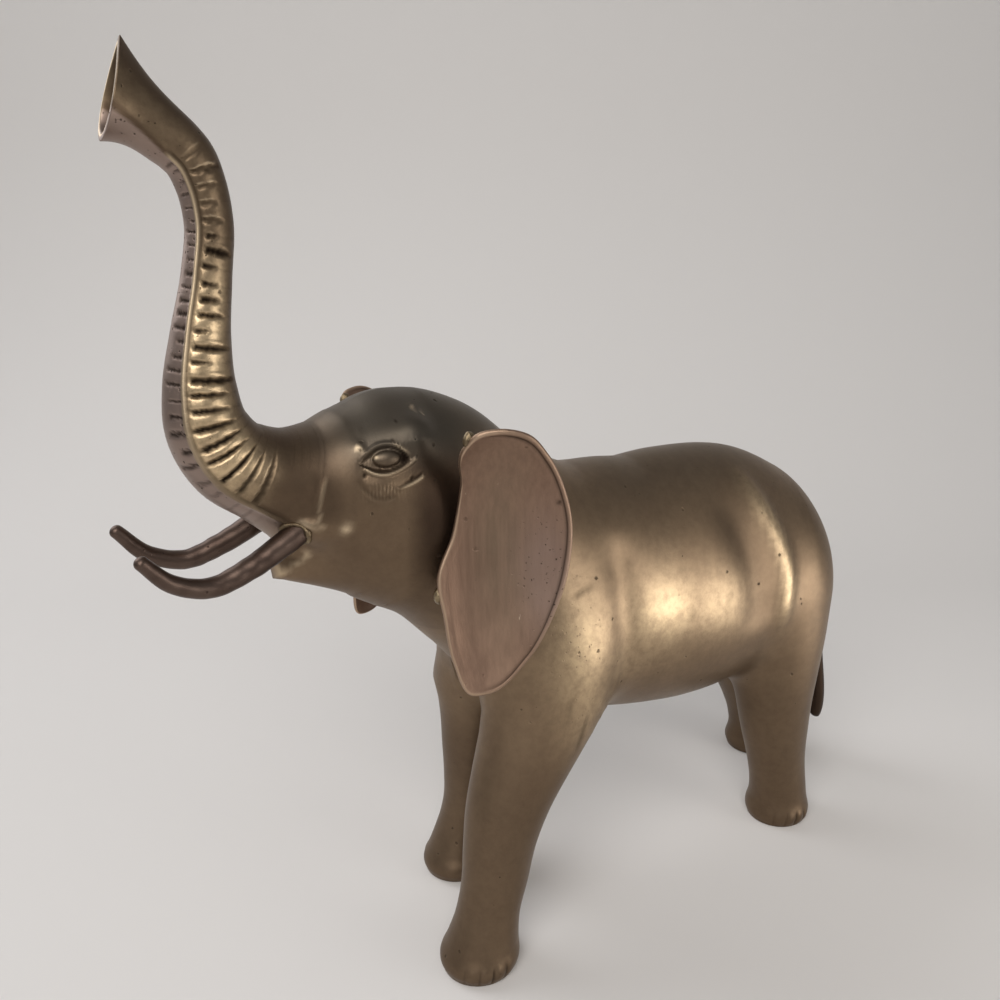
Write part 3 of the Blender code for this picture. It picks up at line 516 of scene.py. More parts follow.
def casting_cage():
    """All rings of the casting, with its four legs."""
    skin = Skin()
    rings = [skin.add_ring(ring, free=0.0) for ring in tail_rings()]
    skin.close(rings[0], (0.0,) + TAIL_END)
    rings += [skin.add_ring(ring) for ring in rump_rings()]
    haunch = len(rings) - 2
    rings += [skin.add_ring(spine_ring(row)) for row in HAUNCH_RINGS + BELLY_RINGS]
    chest = len(rings)
    rings += [skin.add_ring(head_ring(row), row=row) for row in CHEST_RINGS + HEAD_RINGS]
    trunk_rows = np.arange(HEAD_RINGS[-1] + 2.0, len(SPINE) - 2.0, TRUNK_RING_STEP)
    rings += [skin.add_ring(spine_ring(row)) for row in trunk_rows]
    mouth, pole = mouth_rings()
    outside = len(mouth) - len(HOLLOW_RINGS)
    for number, ring in enumerate(mouth):
        row = MOUTH_ROW + number - outside if number >= outside else -100.0
        rings.append(skin.add_ring(ring, free=0.0, row=row))
    skin.close(rings[-1], pole, row=MOUTH_ROW + len(HOLLOW_RINGS))
    starts = {"chest": (chest, chest), "haunch": (haunch, haunch - 1)}
    open_facets = {}
    for leg, rows in zip(LEGS, LEG_ROWS):
        side, patch = leg[0], leg[-1]
        first = starts[patch][0 if side > 0 else 1]
        for number in range(first, first + PATCH):
            open_facets.setdefault(number, []).extend(patch_facets(side))
        grow_leg(skin, patch_edge(rings, first, side), rows)
    for number in range(len(rings) - 1):
        skin.join(rings[number], rings[number + 1], open_facets.get(number, ()))
    return skin


cage = casting_cage()
cage_free = np.array(cage.free)[:, None]
cage_points = np.array(cage.points, float)
cage.points = list(cage_points + (settle(cage_points, 6) - cage_points) * cage_free)
print("cage faces:", len(cage.faces))

# %% [markdown]
# ## Rounding and refining the skin
# Two levels of subdivision give points about a millimetre apart on the head. Eyes and toes need
# more, so the faces there are split again before anything settles. Splitting only where the
# carving is keeps the model light. Some faces folded over where the finer ones end above the
# eye, so the points there are drawn to the middle of their neighbours.

# %% Rounded and refined skin
SUBDIVISIONS = 2
# The part of the head that is split again: rows along the spine and facets round it
EYE_ROWS = (202.0, 238.0)
EYE_FACETS = (2.5, 6.25)
EYE_CUTS = 3
# Middle and half size of the patch above the eye where the finer faces end: y and z
ABOVE_EYE = (-130.0, 16.0, 237.0, 7.6)
EVENING_TURNS = 10
TOE_HEIGHT = 13.0
SOLE_HEIGHT = 0.6


def new_mesh(name, points, faces):
    mesh = bpy.data.meshes.new(name)
    mesh.from_pydata([tuple(point) for point in points], [], faces)
    form = bmesh.new()
    form.from_mesh(mesh)
    loose = [vertex for vertex in form.verts if not vertex.link_faces]
    bmesh.ops.delete(form, geom=loose, context="VERTS")
    bmesh.ops.recalc_face_normals(form, faces=form.faces)
    form.to_mesh(mesh)
    form.free()
    return mesh


def mesh_points(mesh):
    flat = np.empty(3 * len(mesh.vertices))
    mesh.vertices.foreach_get("co", flat)
    return flat.reshape(-1, 3)


def mesh_normals(mesh):
    flat = np.empty(3 * len(mesh.vertices))
    mesh.vertex_normals.foreach_get("vector", flat)
    return flat.reshape(-1, 3)


def store(mesh, name, values):
    """Keeps one number a point on the mesh, for the materials to read."""
    layer = mesh.attributes.get(name) or mesh.attributes.new(name, "FLOAT", "POINT")
    layer.data.foreach_set("value", np.asarray(values, np.float32))


def set_points(mesh, points):
    mesh.vertices.foreach_set("co", np.asarray(points, np.float32).ravel())
    mesh.update()


def rounded(name, skin):
    """The skin after two levels of subdivision, and how free each point is."""
    mesh = bpy.data.meshes.new(name)
    used = sorted({number for face in skin.faces for number in face})
    renumber = {number: place for place, number in enumerate(used)}
    faces = [tuple(renumber[number] for number in face) for face in skin.faces]
    mesh.from_pydata([tuple(skin.points[number]) for number in used], [], faces)
    for label, values in (("free", skin.free), ("row", skin.row), ("facet", skin.facet)):
        store(mesh, label, [values[number] for number in used])
    form = bmesh.new()
    form.from_mesh(mesh)
    bmesh.ops.recalc_face_normals(form, faces=form.faces)
    form.to_mesh(mesh)
    form.free()
    stand = bpy.data.objects.new(name, mesh)
    bpy.context.scene.collection.objects.link(stand)
    rounding = stand.modifiers.new("rounding", "SUBSURF")
    rounding.levels = SUBDIVISIONS
    graph = bpy.context.evaluated_depsgraph_get()
    fine = bpy.data.meshes.new_from_object(stand.evaluated_get(graph))
    bpy.data.objects.remove(stand)
    return fine


def refine(mesh, chosen, cuts):
    """Splits the chosen faces again."""
    form = bmesh.new()
    form.from_mesh(mesh)
    form.faces.ensure_lookup_table()
    edges = {edge for number in np.flatnonzero(chosen) for edge in form.faces[number].edges}
    bmesh.ops.subdivide_edges(form, edges=list(edges), cuts=cuts, use_grid_fill=True)
    form.to_mesh(mesh)
    form.free()


def stored_values(mesh, name):
    values = np.empty(len(mesh.vertices), np.float32)
    mesh.attributes[name].data.foreach_get("value", values)
    return values


def face_means(mesh, name):
    """The mean of a stored number over each four-sided face."""
    corners = np.empty(len(mesh.loops), np.int32)
    mesh.loops.foreach_get("vertex_index", corners)
    return stored_values(mesh, name)[corners].reshape(-1, 4).mean(axis=1)


def evened(mesh, points, chosen, turns):
    """The chosen points drawn to the middle of their neighbours."""
    ends = np.empty(2 * len(mesh.edges), np.int32)
    mesh.edges.foreach_get("vertices", ends)
    first, second = ends.reshape(-1, 2).T
    count = np.bincount(ends, minlength=len(points))
    for _ in range(turns):
        total = np.zeros_like(points)
        np.add.at(total, first, points[second])
        np.add.at(total, second, points[first])
        points = np.where(chosen[:, None], total / count[:, None], points)
    return points


casting_mesh = rounded("elephant_body", cage)
face_row = face_means(casting_mesh, "row")
face_facet = face_means(casting_mesh, "facet")
face_facet = np.minimum(face_facet, BODY_SEGMENTS - face_facet)
in_eye = (face_row > EYE_ROWS[0]) & (face_row < EYE_ROWS[1])
in_eye &= (face_facet > EYE_FACETS[0]) & (face_facet < EYE_FACETS[1])
refine(casting_mesh, in_eye, EYE_CUTS)
centres = np.empty(3 * len(casting_mesh.polygons))
casting_mesh.polygons.foreach_get("center", centres)
level = centres.reshape(-1, 3)[:, 2]
refine(casting_mesh, (level < TOE_HEIGHT) & (level > SOLE_HEIGHT), 1)

free = stored_values(casting_mesh, "free")
points = mesh_points(casting_mesh)
points += (settle(points) - points) * free[:, None]
above_eye = np.abs(points[:, 1] - ABOVE_EYE[0]) < ABOVE_EYE[1]
above_eye &= np.abs(points[:, 2] - ABOVE_EYE[2]) < ABOVE_EYE[3]
points = evened(casting_mesh, points, above_eye, EVENING_TURNS)
points[:, 2] = np.maximum(points[:, 2], 0.0)
set_points(casting_mesh, points)
print("casting faces:", len(casting_mesh.polygons), "eye faces:", int(in_eye.sum()))

# %% [markdown]
# ## Drawing on the skin
# Creases, lids and ridges are lines on the side of the statue. A line is a few places as seen
# from the side, and a point is raised or cut by how far it lies from that line. Both flanks get
# the same lines, as a founder would carve them.

# %% Tools for carved lines
def fade(value, start, end):
    """A smooth rise from 0 at start to 1 at end."""
    t = np.clip((value - start) / (end - start), 0.0, 1.0)
    return t * t * (3.0 - 2.0 * t)


def bell(distance, width):
    """1 on a line, falling off smoothly within the width."""
    return np.exp(-(distance / width) ** 2)


def from_line(points, line):
    """Distance from a line seen from the side, how far along it as a share, and the side of it."""
    places = smooth_rows(np.array(line, float), 0.5)
    flat = points[:, 1:3]
    best = np.full(len(points), 1e9)
    share = np.zeros(len(points))
    hand = np.zeros(len(points))
    near = np.flatnonzero(
        (flat[:, 0] > places[:, 0].min() - 30.0) & (flat[:, 0] < places[:, 0].max() + 30.0)
        & (flat[:, 1] > places[:, 1].min() - 30.0) & (flat[:, 1] < places[:, 1].max() + 30.0)
    )
    if len(near) == 0:
        return best, share, hand
    gap = ((flat[near, None, :] - places[None]) ** 2).sum(axis=2)
    at = gap.argmin(axis=1)
    best[near] = np.sqrt(gap[np.arange(len(near)), at])
    share[near] = at / (len(places) - 1.0)
    ahead = np.gradient(places, axis=0)[at]
    offset = flat[near] - places[at]
    hand[near] = np.sign(ahead[:, 0] * offset[:, 1] - ahead[:, 1] * offset[:, 0])
    return best, share, hand


def wobble(points, scale, seed):
    """Slow, smooth ups and downs between -1 and 1."""
    dice = np.random.default_rng(seed)
    value = np.zeros(len(points))
    for _ in range(5):
        wave = dice.normal(0.0, 1.0 / scale, points.shape[1])
        value += np.sin(points @ wave * 2.0 * math.pi + dice.uniform(0.0, 6.3))
    return value / 5.0


def stroke(points, line, width, ends=0.15):
    """A soft line that fades out at its two ends."""
    distance, share = from_line(points, line)[:2]
    shape = bell(distance, width)
    if ends > 0.0:
        shape = shape * fade(share, 0.0, ends) * fade(1.0 - share, 0.0, ends)
    return shape


print("a stroke 2 mm wide is at", round(float(bell(np.array([1.0]), 2.0)[0]), 2),
      "a millimetre off its line")

# %% [markdown]
# ## The flank
# The haunch has a crest that catches the light, with a shallow hollow in front of it, and a valley
# parts the shoulder from the belly. These are broad and low, so they only bend the reflections.

# %% Haunch, shoulder and belly
HAUNCH_CREST = (
    (36.0, 197.0),
    (40.9, 181.2),
    (46.0, 169.2),
    (49.5, 158.8),
    (51.5, 147.6),
    (51.0, 133.7),
    (50.0, 112.0),
)
HAUNCH_HOLLOW = ((17.4, 190.0), (26.1, 169.4), (30.5, 155.9), (32.6, 140.0), (33.0, 118.0))
SHOULDER_VALLEY = ((-44.2, 182.0), (-43.2, 166.0), (-42.8, 154.1), (-42.4, 136.9), (-41.0, 112.0))
SHOULDER_SCRATCH = ((-74.1, 156.8), (-64.0, 161.6), (-53.8, 166.5))
# Where the brass is rubbed bright: y, z, half length, half height, strength
RUBBED = (
    (-66.0, 136.0, 13.0, 24.0, 0.78),
    (-60.0, 112.0, 14.0, 16.0, 0.55),
    (-22.0, 143.0, 17.0, 15.0, 0.95),
    (8.0, 140.0, 18.0, 14.0, 0.55),
    (-40.0, 128.0, 34.0, 12.0, 0.35),
)
# Small dents: y, z, half length, half height, and how dark
DENTS = (
    (-6.5, 139.4, 1.0, 2.2, 0.75),
    (14.7, 140.1, 1.1, 2.4, 0.45),
    (-10.7, 151.7, 0.6, 0.6, 1.0),
    (56.7, 100.5, 0.8, 0.8, 0.8),
    (-73.6, 113.9, 1.6, 1.0, 0.6),
    (-66.6, 100.6, 1.3, 0.9, 0.6),
    (-77.5, 147.0, 0.6, 0.6, 0.9),
    (-70.0, 153.0, 0.7, 0.5, 0.8),
)


def oval(points, y, z, half_length, half_height):
    """1 in the middle of an oval seen from the side, falling off smoothly."""
    return np.exp(-((points[:, 1] - y) / half_length) ** 2 - ((points[:, 2] - z) / half_height) ** 2)


def flank_relief(points, normals):
    """Height, dark marks and rubbed places on the flanks."""
    side = fade(np.abs(normals[:, 0]), 0.25, 0.7)
    height = 2.5 * stroke(points, HAUNCH_CREST, 5.0, 0.22)
    height -= 2.1 * stroke(points, HAUNCH_HOLLOW, 9.0, 0.22)
    height -= 1.8 * stroke(points, SHOULDER_VALLEY, 6.5, 0.22)
    scratch = stroke(points, SHOULDER_SCRATCH, 0.7)
    height -= 0.15 * scratch
    dark = 0.35 * scratch
    for y, z, half_length, half_height, strength in DENTS:
        dent_here = oval(points, y, z, half_length, half_height)
        height -= 0.25 * dent_here
        dark = np.maximum(dark, strength * dent_here)
    rubbed = 0.9 * stroke(points, HAUNCH_CREST, 3.8, 0.3)
    for y, z, half_length, half_height, strength in RUBBED:
        rubbed = np.maximum(rubbed, strength * oval(points, y, z, half_length, half_height))
    return height * side, dark * side, rubbed * side


print("dents on a flank:", len(DENTS))

# %% [markdown]
# ## The eye and the face
# An almond ball sits between two lids with a bag below, and a knot stands over its front corner.
# The lids are strokes along the almond's edge. The ball is the room between its two curves, so
# its corners stay sharp.

# %% Eye, cheek and crease
UPPER_LID = (
    (-146.8, 222.6),
    (-143.1, 225.4),
    (-140.0, 227.0),
    (-136.9, 227.5),
    (-134.4, 227.0),
    (-132.0, 225.6),
    (-129.4, 223.0),
)
LOWER_LID = (
    (-146.8, 222.4),
    (-144.1, 220.9),
    (-142.3, 219.9),
    (-139.9, 219.3),
    (-137.3, 219.4),
    (-134.2, 220.1),
    (-132.0, 221.1),
    (-129.4, 222.8),
)
LOWER_RIDGE = (
    (-145.6, 221.2),
    (-143.6, 219.7),
    (-142.0, 218.9),
    (-139.5, 218.4),
    (-136.1, 218.7),
    (-133.7, 219.4),
    (-130.2, 220.9),
    (-126.6, 223.2),
)
SECOND_LID = ((-143.4, 222.6), (-141.9, 221.9), (-139.3, 220.9), (-136.0, 220.9), (-132.6, 221.9))
EYE_BAG = (
    (-148.0, 219.0),
    (-147.1, 215.1),
    (-145.2, 212.7),
    (-143.0, 210.9),
    (-140.0, 210.1),
    (-135.0, 210.8),
)
BAG_LINE = ((-136.4, 212.9), (-134.0, 213.2), (-131.8, 213.8), (-128.6, 214.8), (-124.8, 216.6))
BALL = (-137.4, 223.7, 4.9, 3.0)
GLINT = (-141.3, 224.4)
BROW_KNOT = (-145.8, 227.5)
BROW_PIT = (-145.5, 226.9)
BAG_PIT = (-145.8, 218.9)
BAG_LINE_PIT = (-129.6, 216.1)
CHEEK_KNOT = (-153.0, 200.9)
FACE_CREASE = (
    (-157.2, 220.6),
    (-159.1, 216.5),
    (-161.2, 209.7),
    (-161.8, 204.8),
    (-163.3, 203.0),
    (-165.6, 203.9),
)
LIP_FOLD = ((-169.0, 204.6), (-166.0, 203.6), (-163.6, 202.6), (-159.6, 201.4))
LIP_RIM = ((-176.6, 183.9), (-173.2, 182.6), (-167.6, 185.2), (-162.8, 189.4), (-164.4, 192.2))
LIP_OVAL = (-169.6, 187.0, 6.2, 2.6)
CROWN_SCRATCHES = (
    ((-122.9, 240.4), (-122.3, 239.0), (-122.1, 237.4)),
    ((-118.2, 238.2), (-119.0, 237.0), (-119.7, 235.6)),
)
CROWN_DOTS = ((-131.1, 235.2), (-134.6, 229.4))
BAG_WRINKLES = 8
# The eye's relief fades out between these heights, under the swelling of the brow
EYE_RELIEF_TOP = (229.0, 230.2)


def knot(points, place, width):
    return bell(np.hypot(points[:, 1] - place[0], points[:, 2] - place[1]), width)


def eye_relief(points):
    """Height, dark and bright lines of the eye, its lids and the bag below."""
    y = points[:, 1]
    z = points[:, 2]
    upper = np.interp(y, *np.array(UPPER_LID).T)
    lower = np.interp(y, *np.array(LOWER_LID).T)
    gap = np.maximum(upper - lower, 0.05)
    share = (z - lower) / gap
    inside = fade(share, 0.0, 0.16) * fade(1.0 - share, 0.0, 0.16)
    inside *= (y > UPPER_LID[0][0]) & (y < UPPER_LID[-1][0])
    ball_y, ball_z, half_length, half_height = BALL
    lap = ((y - ball_y) / half_length) ** 2 + ((z - ball_z) / half_height) ** 2
    ball = np.sqrt(np.clip(1.0 - lap, 0.0, 1.0))
    height = inside * (2.3 * ball - 1.3)
    upper_line = stroke(points, UPPER_LID, 0.5, 0.12)
    lower_line = stroke(points, LOWER_LID, 0.4, 0.1)
    upper_ridge = stroke(points, [(y0 + 0.1, z0 + 1.0) for y0, z0 in UPPER_LID], 0.7, 0.2)
    ridge = stroke(points, LOWER_RIDGE, 0.55, 0.06)
    second = stroke(points, SECOND_LID, 0.45, 0.2) * inside
    height += 0.9 * upper_ridge + 0.9 * ridge - 0.5 * upper_line
    height += 0.15 * bell(lap - 1.3, 0.3) * inside - 0.2 * second
    bag = stroke(points, EYE_BAG, 1.1, 0.2)
    line, along, hand = from_line(points, BAG_LINE)
    bag_line = stroke(points, BAG_LINE, 0.5, 0.12)
    above = bell(line - 0.9, 0.6) * (hand > 0) * fade(along, 0.1, 0.5) * fade(1.0 - along, 0.0, 0.1)
    height += 0.8 * oval(points, -140.5, 215.2, 5.5, 3.2) - 0.5 * bag + 0.6 * bag_line - 0.5 * above
    low = oval(points, -140.0, 212.6, 5.5, 2.4)
    wrinkles = np.cos((y + 140.0) * 2.0 * math.pi / (9.6 / BAG_WRINKLES) + 1.4 * wobble(points, 4.0, 11))
    wrinkles *= low * fade(wobble(points, 2.4, 12), -0.6, 0.5)
    height += 0.16 * wrinkles
    pits = np.maximum(knot(points, BAG_PIT, 0.75), 0.9 * knot(points, BAG_LINE_PIT, 0.7))
    height -= 0.6 * pits
    corner = inside * fade(y, -134.4, -131.6)
    # Painted shade along the lid lines, in the eye's rear corner, under the lower lid, in the bag and the
    # wrinkles' troughs, with small dark pits
    dark = np.maximum.reduce((
        0.85 * upper_line * fade(y, -146.0, -140.0), 0.8 * lower_line, 0.95 * corner, 0.55 * second,
        0.35 * bag, 0.7 * above, 0.9 * pits, 0.45 * np.clip(-wrinkles, 0.0, 1.0),
    ))
    # Painted highlights on the lids' edges, the bag line and the wrinkles' crests, and a painted glint on
    # the ball
    bright = np.maximum.reduce((
        0.75 * stroke(points, LOWER_RIDGE, 0.4, 0.06) * (0.35 + 0.65 * fade(-y, 132.0, 142.0)),
        0.55 * upper_ridge * fade(y, -136.0, -131.0), 1.0 * knot(points, GLINT, 0.65),
        0.6 * bag_line * fade(along, 0.1, 0.5), 0.25 * np.clip(wrinkles, 0.0, 1.0),
    ))
    return height, dark, bright


def face_relief(points, normals):
    """Height, dark and bright lines of the whole face."""
    side = fade(np.abs(points[:, 0]), 9.0, 15.0) * fade(np.abs(normals[:, 0]), 0.15, 0.45)
    kept = 1.0 - fade(points[:, 2], *EYE_RELIEF_TOP)
    height, dark, bright = [values * kept for values in eye_relief(points)]
    height += 0.9 * knot(points, BROW_KNOT, 2.0) + 1.0 * knot(points, CHEEK_KNOT, 4.6)
    height -= 0.4 * knot(points, BROW_PIT, 0.5)
    crease, share_crease, hand = from_line(points, FACE_CREASE)
    run = fade(share_crease, 0.0, 0.4)
    height -= 0.5 * bell(crease - 2.2, 2.4) * (hand < 0) * run
    height += 0.4 * bell(crease, 1.1) * run
    lip = stroke(points, LIP_FOLD, 0.9, 0.2)
    height += 0.6 * lip
    # Painted highlights on the brow and cheek knots, the lip fold and the crease's ridge
    bright = np.maximum.reduce((
        bright, 0.9 * knot(points, BROW_KNOT, 1.0), 0.7 * knot(points, CHEEK_KNOT, 1.7), 0.45 * lip,
        0.30 * bell(crease, 0.5) * run,
    ))
    dark = np.maximum(dark, 0.8 * knot(points, BROW_PIT, 0.45))
    top = (points[:, 0] > 4.0) * fade(points[:, 2], 228.0, 231.0)
    for line in CROWN_SCRATCHES:
        bright = np.maximum(bright, 0.55 * stroke(points, line, 0.35, 0.2) * top / np.maximum(side, 0.2))
    for place in CROWN_DOTS:
        dark = np.maximum(dark, 0.9 * knot(points, place, 0.55))
    low = fade(np.abs(points[:, 0]), 3.0, 6.0) * fade(-points[:, 2], -196.0, -192.0)
    rim = stroke(points, LIP_RIM, 0.7, 0.1) * low
    mouth = oval(points, *LIP_OVAL) * low
    height = height * side + 0.6 * rim - 0.8 * mouth
    # Painted shade in the mouth's hollow, and a painted highlight on its rim
    dark = np.maximum(dark * side, 0.30 * mouth)
    bright = np.maximum(bright * side, 0.55 * rim)
    return height, np.clip(dark, 0.0, 1.0), np.clip(bright, 0.0, 1.0)


print("the eye is", round(UPPER_LID[-1][0] - UPPER_LID[0][0], 1), "mm long")

# %% [markdown]
# ## The trunk's grooves
# Chisel cuts cross each side of the trunk. Each starts broad at the flat band on the underside
# and thins out towards the back, and no two are the same length. The band has a ridge on either
# edge and short cuts of its own, like a ladder. Numbers from a seeded generator vary the cuts.

# %% Grooves and band of the trunk
GROOVE_COUNT = 25
GROOVE_START = (-168.0, 218.0)
GROOVE_END = (-188.0, 322.0)
GROOVE_DEPTH = 1.1
GROOVE_HALF_WIDTH = 0.80
BAND_EDGE = 129.0
LADDER_DEPTH = 0.5
LADDER_RATIO = 1.15
LONG_GROOVES = 10
FAINT_GROOVE = 20
dice = np.random.default_rng(27)


def spine_row(place):
    return int(np.argmin(((SPINE[:, :2] - np.asarray(place)) ** 2).sum(axis=1)))


FIRST_GROOVE = spine_row(GROOVE_START)
LAST_GROOVE = spine_row(GROOVE_END)
PITCH = (LAST_GROOVE - FIRST_GROOVE) / (GROOVE_COUNT - 1.0)
# For either side: where each groove thins out, its width, depth, lean, place and blunt end
SIDES = (2, GROOVE_COUNT + 1)
GROOVE_TOP = np.where(
    dice.random(SIDES) < 0.4, dice.uniform(30.0, 48.0, SIDES), dice.uniform(54.0, 78.0, SIDES)
)
GROOVE_TOP[:, :LONG_GROOVES] = dice.uniform(36.0, 52.0, (2, LONG_GROOVES))
GROOVE_WIDER = dice.uniform(0.75, 1.25, SIDES)
GROOVE_DEEPER = dice.uniform(0.8, 1.2, SIDES)
GROOVE_LEAN = dice.uniform(-0.45, 0.45, SIDES)
GROOVE_PLACE = dice.uniform(-0.45, 0.45, SIDES)
GROOVE_BLUNT = dice.uniform(-0.5, 0.6, SIDES)
LADDER_PLACE = dice.uniform(-0.5, 0.5, GROOVE_COUNT + 8)
LADDER_REACH = dice.uniform(146.0, 166.0, GROOVE_COUNT + 8)
LADDER_WIDER = dice.uniform(0.5, 1.0, GROOVE_COUNT + 8)


def trunk_relief(points):
    """Height of the trunk's carving, and its masks: dark, bright, gold, under and pitted."""
    row, height = spine_place(points)[:2]
    tall, wide = [np.interp(row, ROW_NUMBERS, SPINE[:, column]) for column in (2, 3)]
    turn = np.degrees(np.arctan2(np.abs(points[:, 0]) / wide, height / tall))
    arc = np.radians(turn - BAND_EDGE) * np.sqrt(tall * wide)
    side = (points[:, 0] > 0).astype(int)
    rough = wobble(points, 3.2, 21)
    count = (row - FIRST_GROOVE) / PITCH
    number = np.clip(np.round(count).astype(int), 0, GROOVE_COUNT)
    swing = GROOVE_PLACE[side, number] + GROOVE_LEAN[side, number] * (turn - 100.0) / 40.0
    offset = (count - number) * PITCH - swing + 0.35 * rough
    top = GROOVE_TOP[side, number]
    reach = fade(turn, top, top + 42.0)
    half = GROOVE_HALF_WIDTH * GROOVE_WIDER[side, number] * (0.45 + 0.60 * reach)
    stop = 1.0 - fade(arc + GROOVE_BLUNT[side, number] + 0.4 * rough, -2.6, -1.6)
    on_trunk = fade(count, 1.3, 1.6) * (1.0 - fade(count, GROOVE_COUNT - 2.0, GROOVE_COUNT + 0.6))
    faint = 1.0 - 0.55 * fade(count, FAINT_GROOVE - 1.5, FAINT_GROOVE + 0.5)
    faint *= 0.7 + 0.3 * fade(count, 2.0, 4.0)
    cut = np.exp(-np.abs(offset / half) ** 2.6) * fade(reach, 0.0, 0.3) * stop * on_trunk
    thread = 0.4 * bell(offset, 0.35) * fade(turn, 26.0, 44.0) * stop * on_trunk
    depth = GROOVE_DEPTH * GROOVE_DEEPER[side, number] * (0.35 + 0.65 * reach)
    swell = 0.12 * bell(np.abs(offset) - 0.5 * PITCH, 1.3) * reach * stop * on_trunk
    lit = bell(offset - half - 0.35, 0.28) * fade(reach, 0.2, 0.7) * stop * on_trunk
    band = fade(count, -2.0, 2.0) * (1.0 - 0.6 * fade(count, GROOVE_COUNT - 1.0, GROOVE_COUNT + 2.5))
    ridge = bell(arc, 0.55)
    gutter = bell(arc + 1.15, 0.6)
    ladder_count = count * LADDER_RATIO
    rung = np.clip(np.round(ladder_count).astype(int), 0, GROOVE_COUNT + 7)
    rung_offset = (ladder_count - rung) * PITCH / LADDER_RATIO - LADDER_PLACE[rung] + 0.5 * rough
    rung_reach = 1.0 - fade(turn, LADDER_REACH[rung], LADDER_REACH[rung] + 6.0)
    ladder = np.exp(-np.abs(rung_offset / (0.70 * LADDER_WIDER[rung])) ** 2.4)
    strong = fade(count, 2.5, 6.5) * (1.0 - 0.6 * fade(count, FAINT_GROOVE, FAINT_GROOVE + 3.0))
    ladder *= fade(arc, 0.9, 1.5) * rung_reach * (0.25 + 0.75 * strong) * fade(count, 0.5, 1.5)
    relief = swell - depth * np.maximum(cut, thread * 0.3) * (0.4 + 0.6 * faint)
    relief += 0.25 * lit * (1.0 - faint)
    relief += band * (0.55 * ridge - 0.30 * gutter - 0.55 * fade(arc, 0.4, 1.5) - LADDER_DEPTH * ladder)
    # Painted shade in the grooves, threads, ladder rungs and gutter
    dark = np.maximum.reduce((
        cut * (0.78 + 0.22 * reach) * faint, 0.5 * thread * faint,
        band * 0.9 * ladder, 0.62 * band * gutter,
    ))
    # Painted highlights on the lit groove edges, and highlight with wear on the band's ridges
    bright = np.maximum(band * ridge * (0.55 + 0.35 * strong), (0.22 + 0.35 * (1.0 - faint)) * lit)
    gold = fade(count, 0.5, 5.0) * (1.0 - 0.85 * fade(count, 13.0, 20.0)) * fade(turn, 34.0, 78.0)
    gold = gold * (1.0 - fade(arc, -1.4, -0.4))
    under = band * fade(arc, 0.2, 1.0)
    pitted = fade(count, 1.0, 5.0) * (1.0 - fade(count, GROOVE_COUNT, GROOVE_COUNT + 5.0))
    pitted = pitted * (0.9 * under + 0.8 * bell(turn - 104.0, 14.0))
    on = row > FIRST_GROOVE - 8.0
    dark = np.clip(dark * on, 0.0, 1.0)
    bright = np.clip(bright * on, 0.0, 1.0)
    return relief * on, dark, bright, gold * on, under * on, pitted * on


print("groove pitch:", round(PITCH, 2), "mm")

# %% [markdown]
# ## Toes
# Nails are only hinted at: short upright cuts round the front and outer side of each foot. They
# are placed by their angle round the foot.

# %% Toe cuts
# Turn round the foot from its outer side, with minus to the front, and how deep
TOE_CUTS = ((-54.0, 0.3), (-31.0, 0.5), (-11.0, 1.0), (10.0, 0.9))
TOE_CUT_TOP = (6.0, 9.5)
TOE_CUT_WIDTH = 0.55
TOE_CUT_LEAN = 0.12
FOOT_RADIUS = 16.0


def toe_relief(points):
    """Depth of the cuts between the toes."""
    height = np.zeros(len(points))
    for leg in LEGS:
        side, foot_x, foot_y = leg[:3]
        across = (points[:, 0] - side * foot_x) * side
        along = points[:, 1] - foot_y
        here = (points[:, 2] < 14.0) & (np.hypot(across, along) < 24.0)
        turn = np.degrees(np.arctan2(along, across))
        level = fade(points[:, 2], 0.4, 2.5) * (1.0 - fade(points[:, 2], *TOE_CUT_TOP)) * here
        for toe, depth in TOE_CUTS:
            arc = np.radians((turn - toe + 180.0) % 360.0 - 180.0) * FOOT_RADIUS
            cut = bell(arc - TOE_CUT_LEAN * points[:, 2], TOE_CUT_WIDTH)
            height += depth * level * (cut - 0.3 * bell(np.abs(arc) - 2.8, 1.6))
    return height


print("toe cuts on a foot:", len(TOE_CUTS))

# %% [markdown]
# ## Carving the casting
# All the reliefs are added up and each point moves along its own normal. The same masks are kept
# on the mesh, so the materials paint shade into the cuts and creases, and highlights with some wear
# on edges, ridges and knots.

# %% Carve
normals = mesh_normals(casting_mesh)
flank, flank_dark, rubbed = flank_relief(points, normals)
face, face_dark, face_bright = face_relief(points, normals)
trunk, trunk_dark, trunk_bright, gold, under, pitted = trunk_relief(points)
toes = toe_relief(points)
height = (flank + face) * free + trunk * free - 0.7 * toes
points = points + normals * height[:, None]
points[:, 2] = np.maximum(points[:, 2], 0.0)
x, y, z = np.abs(points[:, 0]), points[:, 1], points[:, 2]
row = stored_values(casting_mesh, "row")
mouth_shade = fade(row, MOUTH_ROW + 0.6, MOUTH_ROW + 4.0) * 0.9
# Painted highlight along the rim of the trunk's mouth
mouth_rim = bell(row - MOUTH_ROW, 0.6)
# Painted shade inside the trunk's mouth
inside_mouth = (row > MOUTH_ROW - 0.9) * 1.0
crown = fade(z, 214.0, 232.0) * (1.0 - fade(z, 244.0, 262.0)) * fade(y, -166.0, -140.0)
back = fade(z, 182.0, 204.0) * fade(y, -60.0, -20.0)
tail = fade(y, 112.0, 122.0) * (z < 152.0) * (x < 9.0)
# Painted shade where the ear overhangs the head, over a darker patina
by_ear = fade(y, -139.0, -124.0) * (1.0 - fade(y, -112.0, -100.0)) * bell(z - 203.0, 44.0) * (z > 150.0)
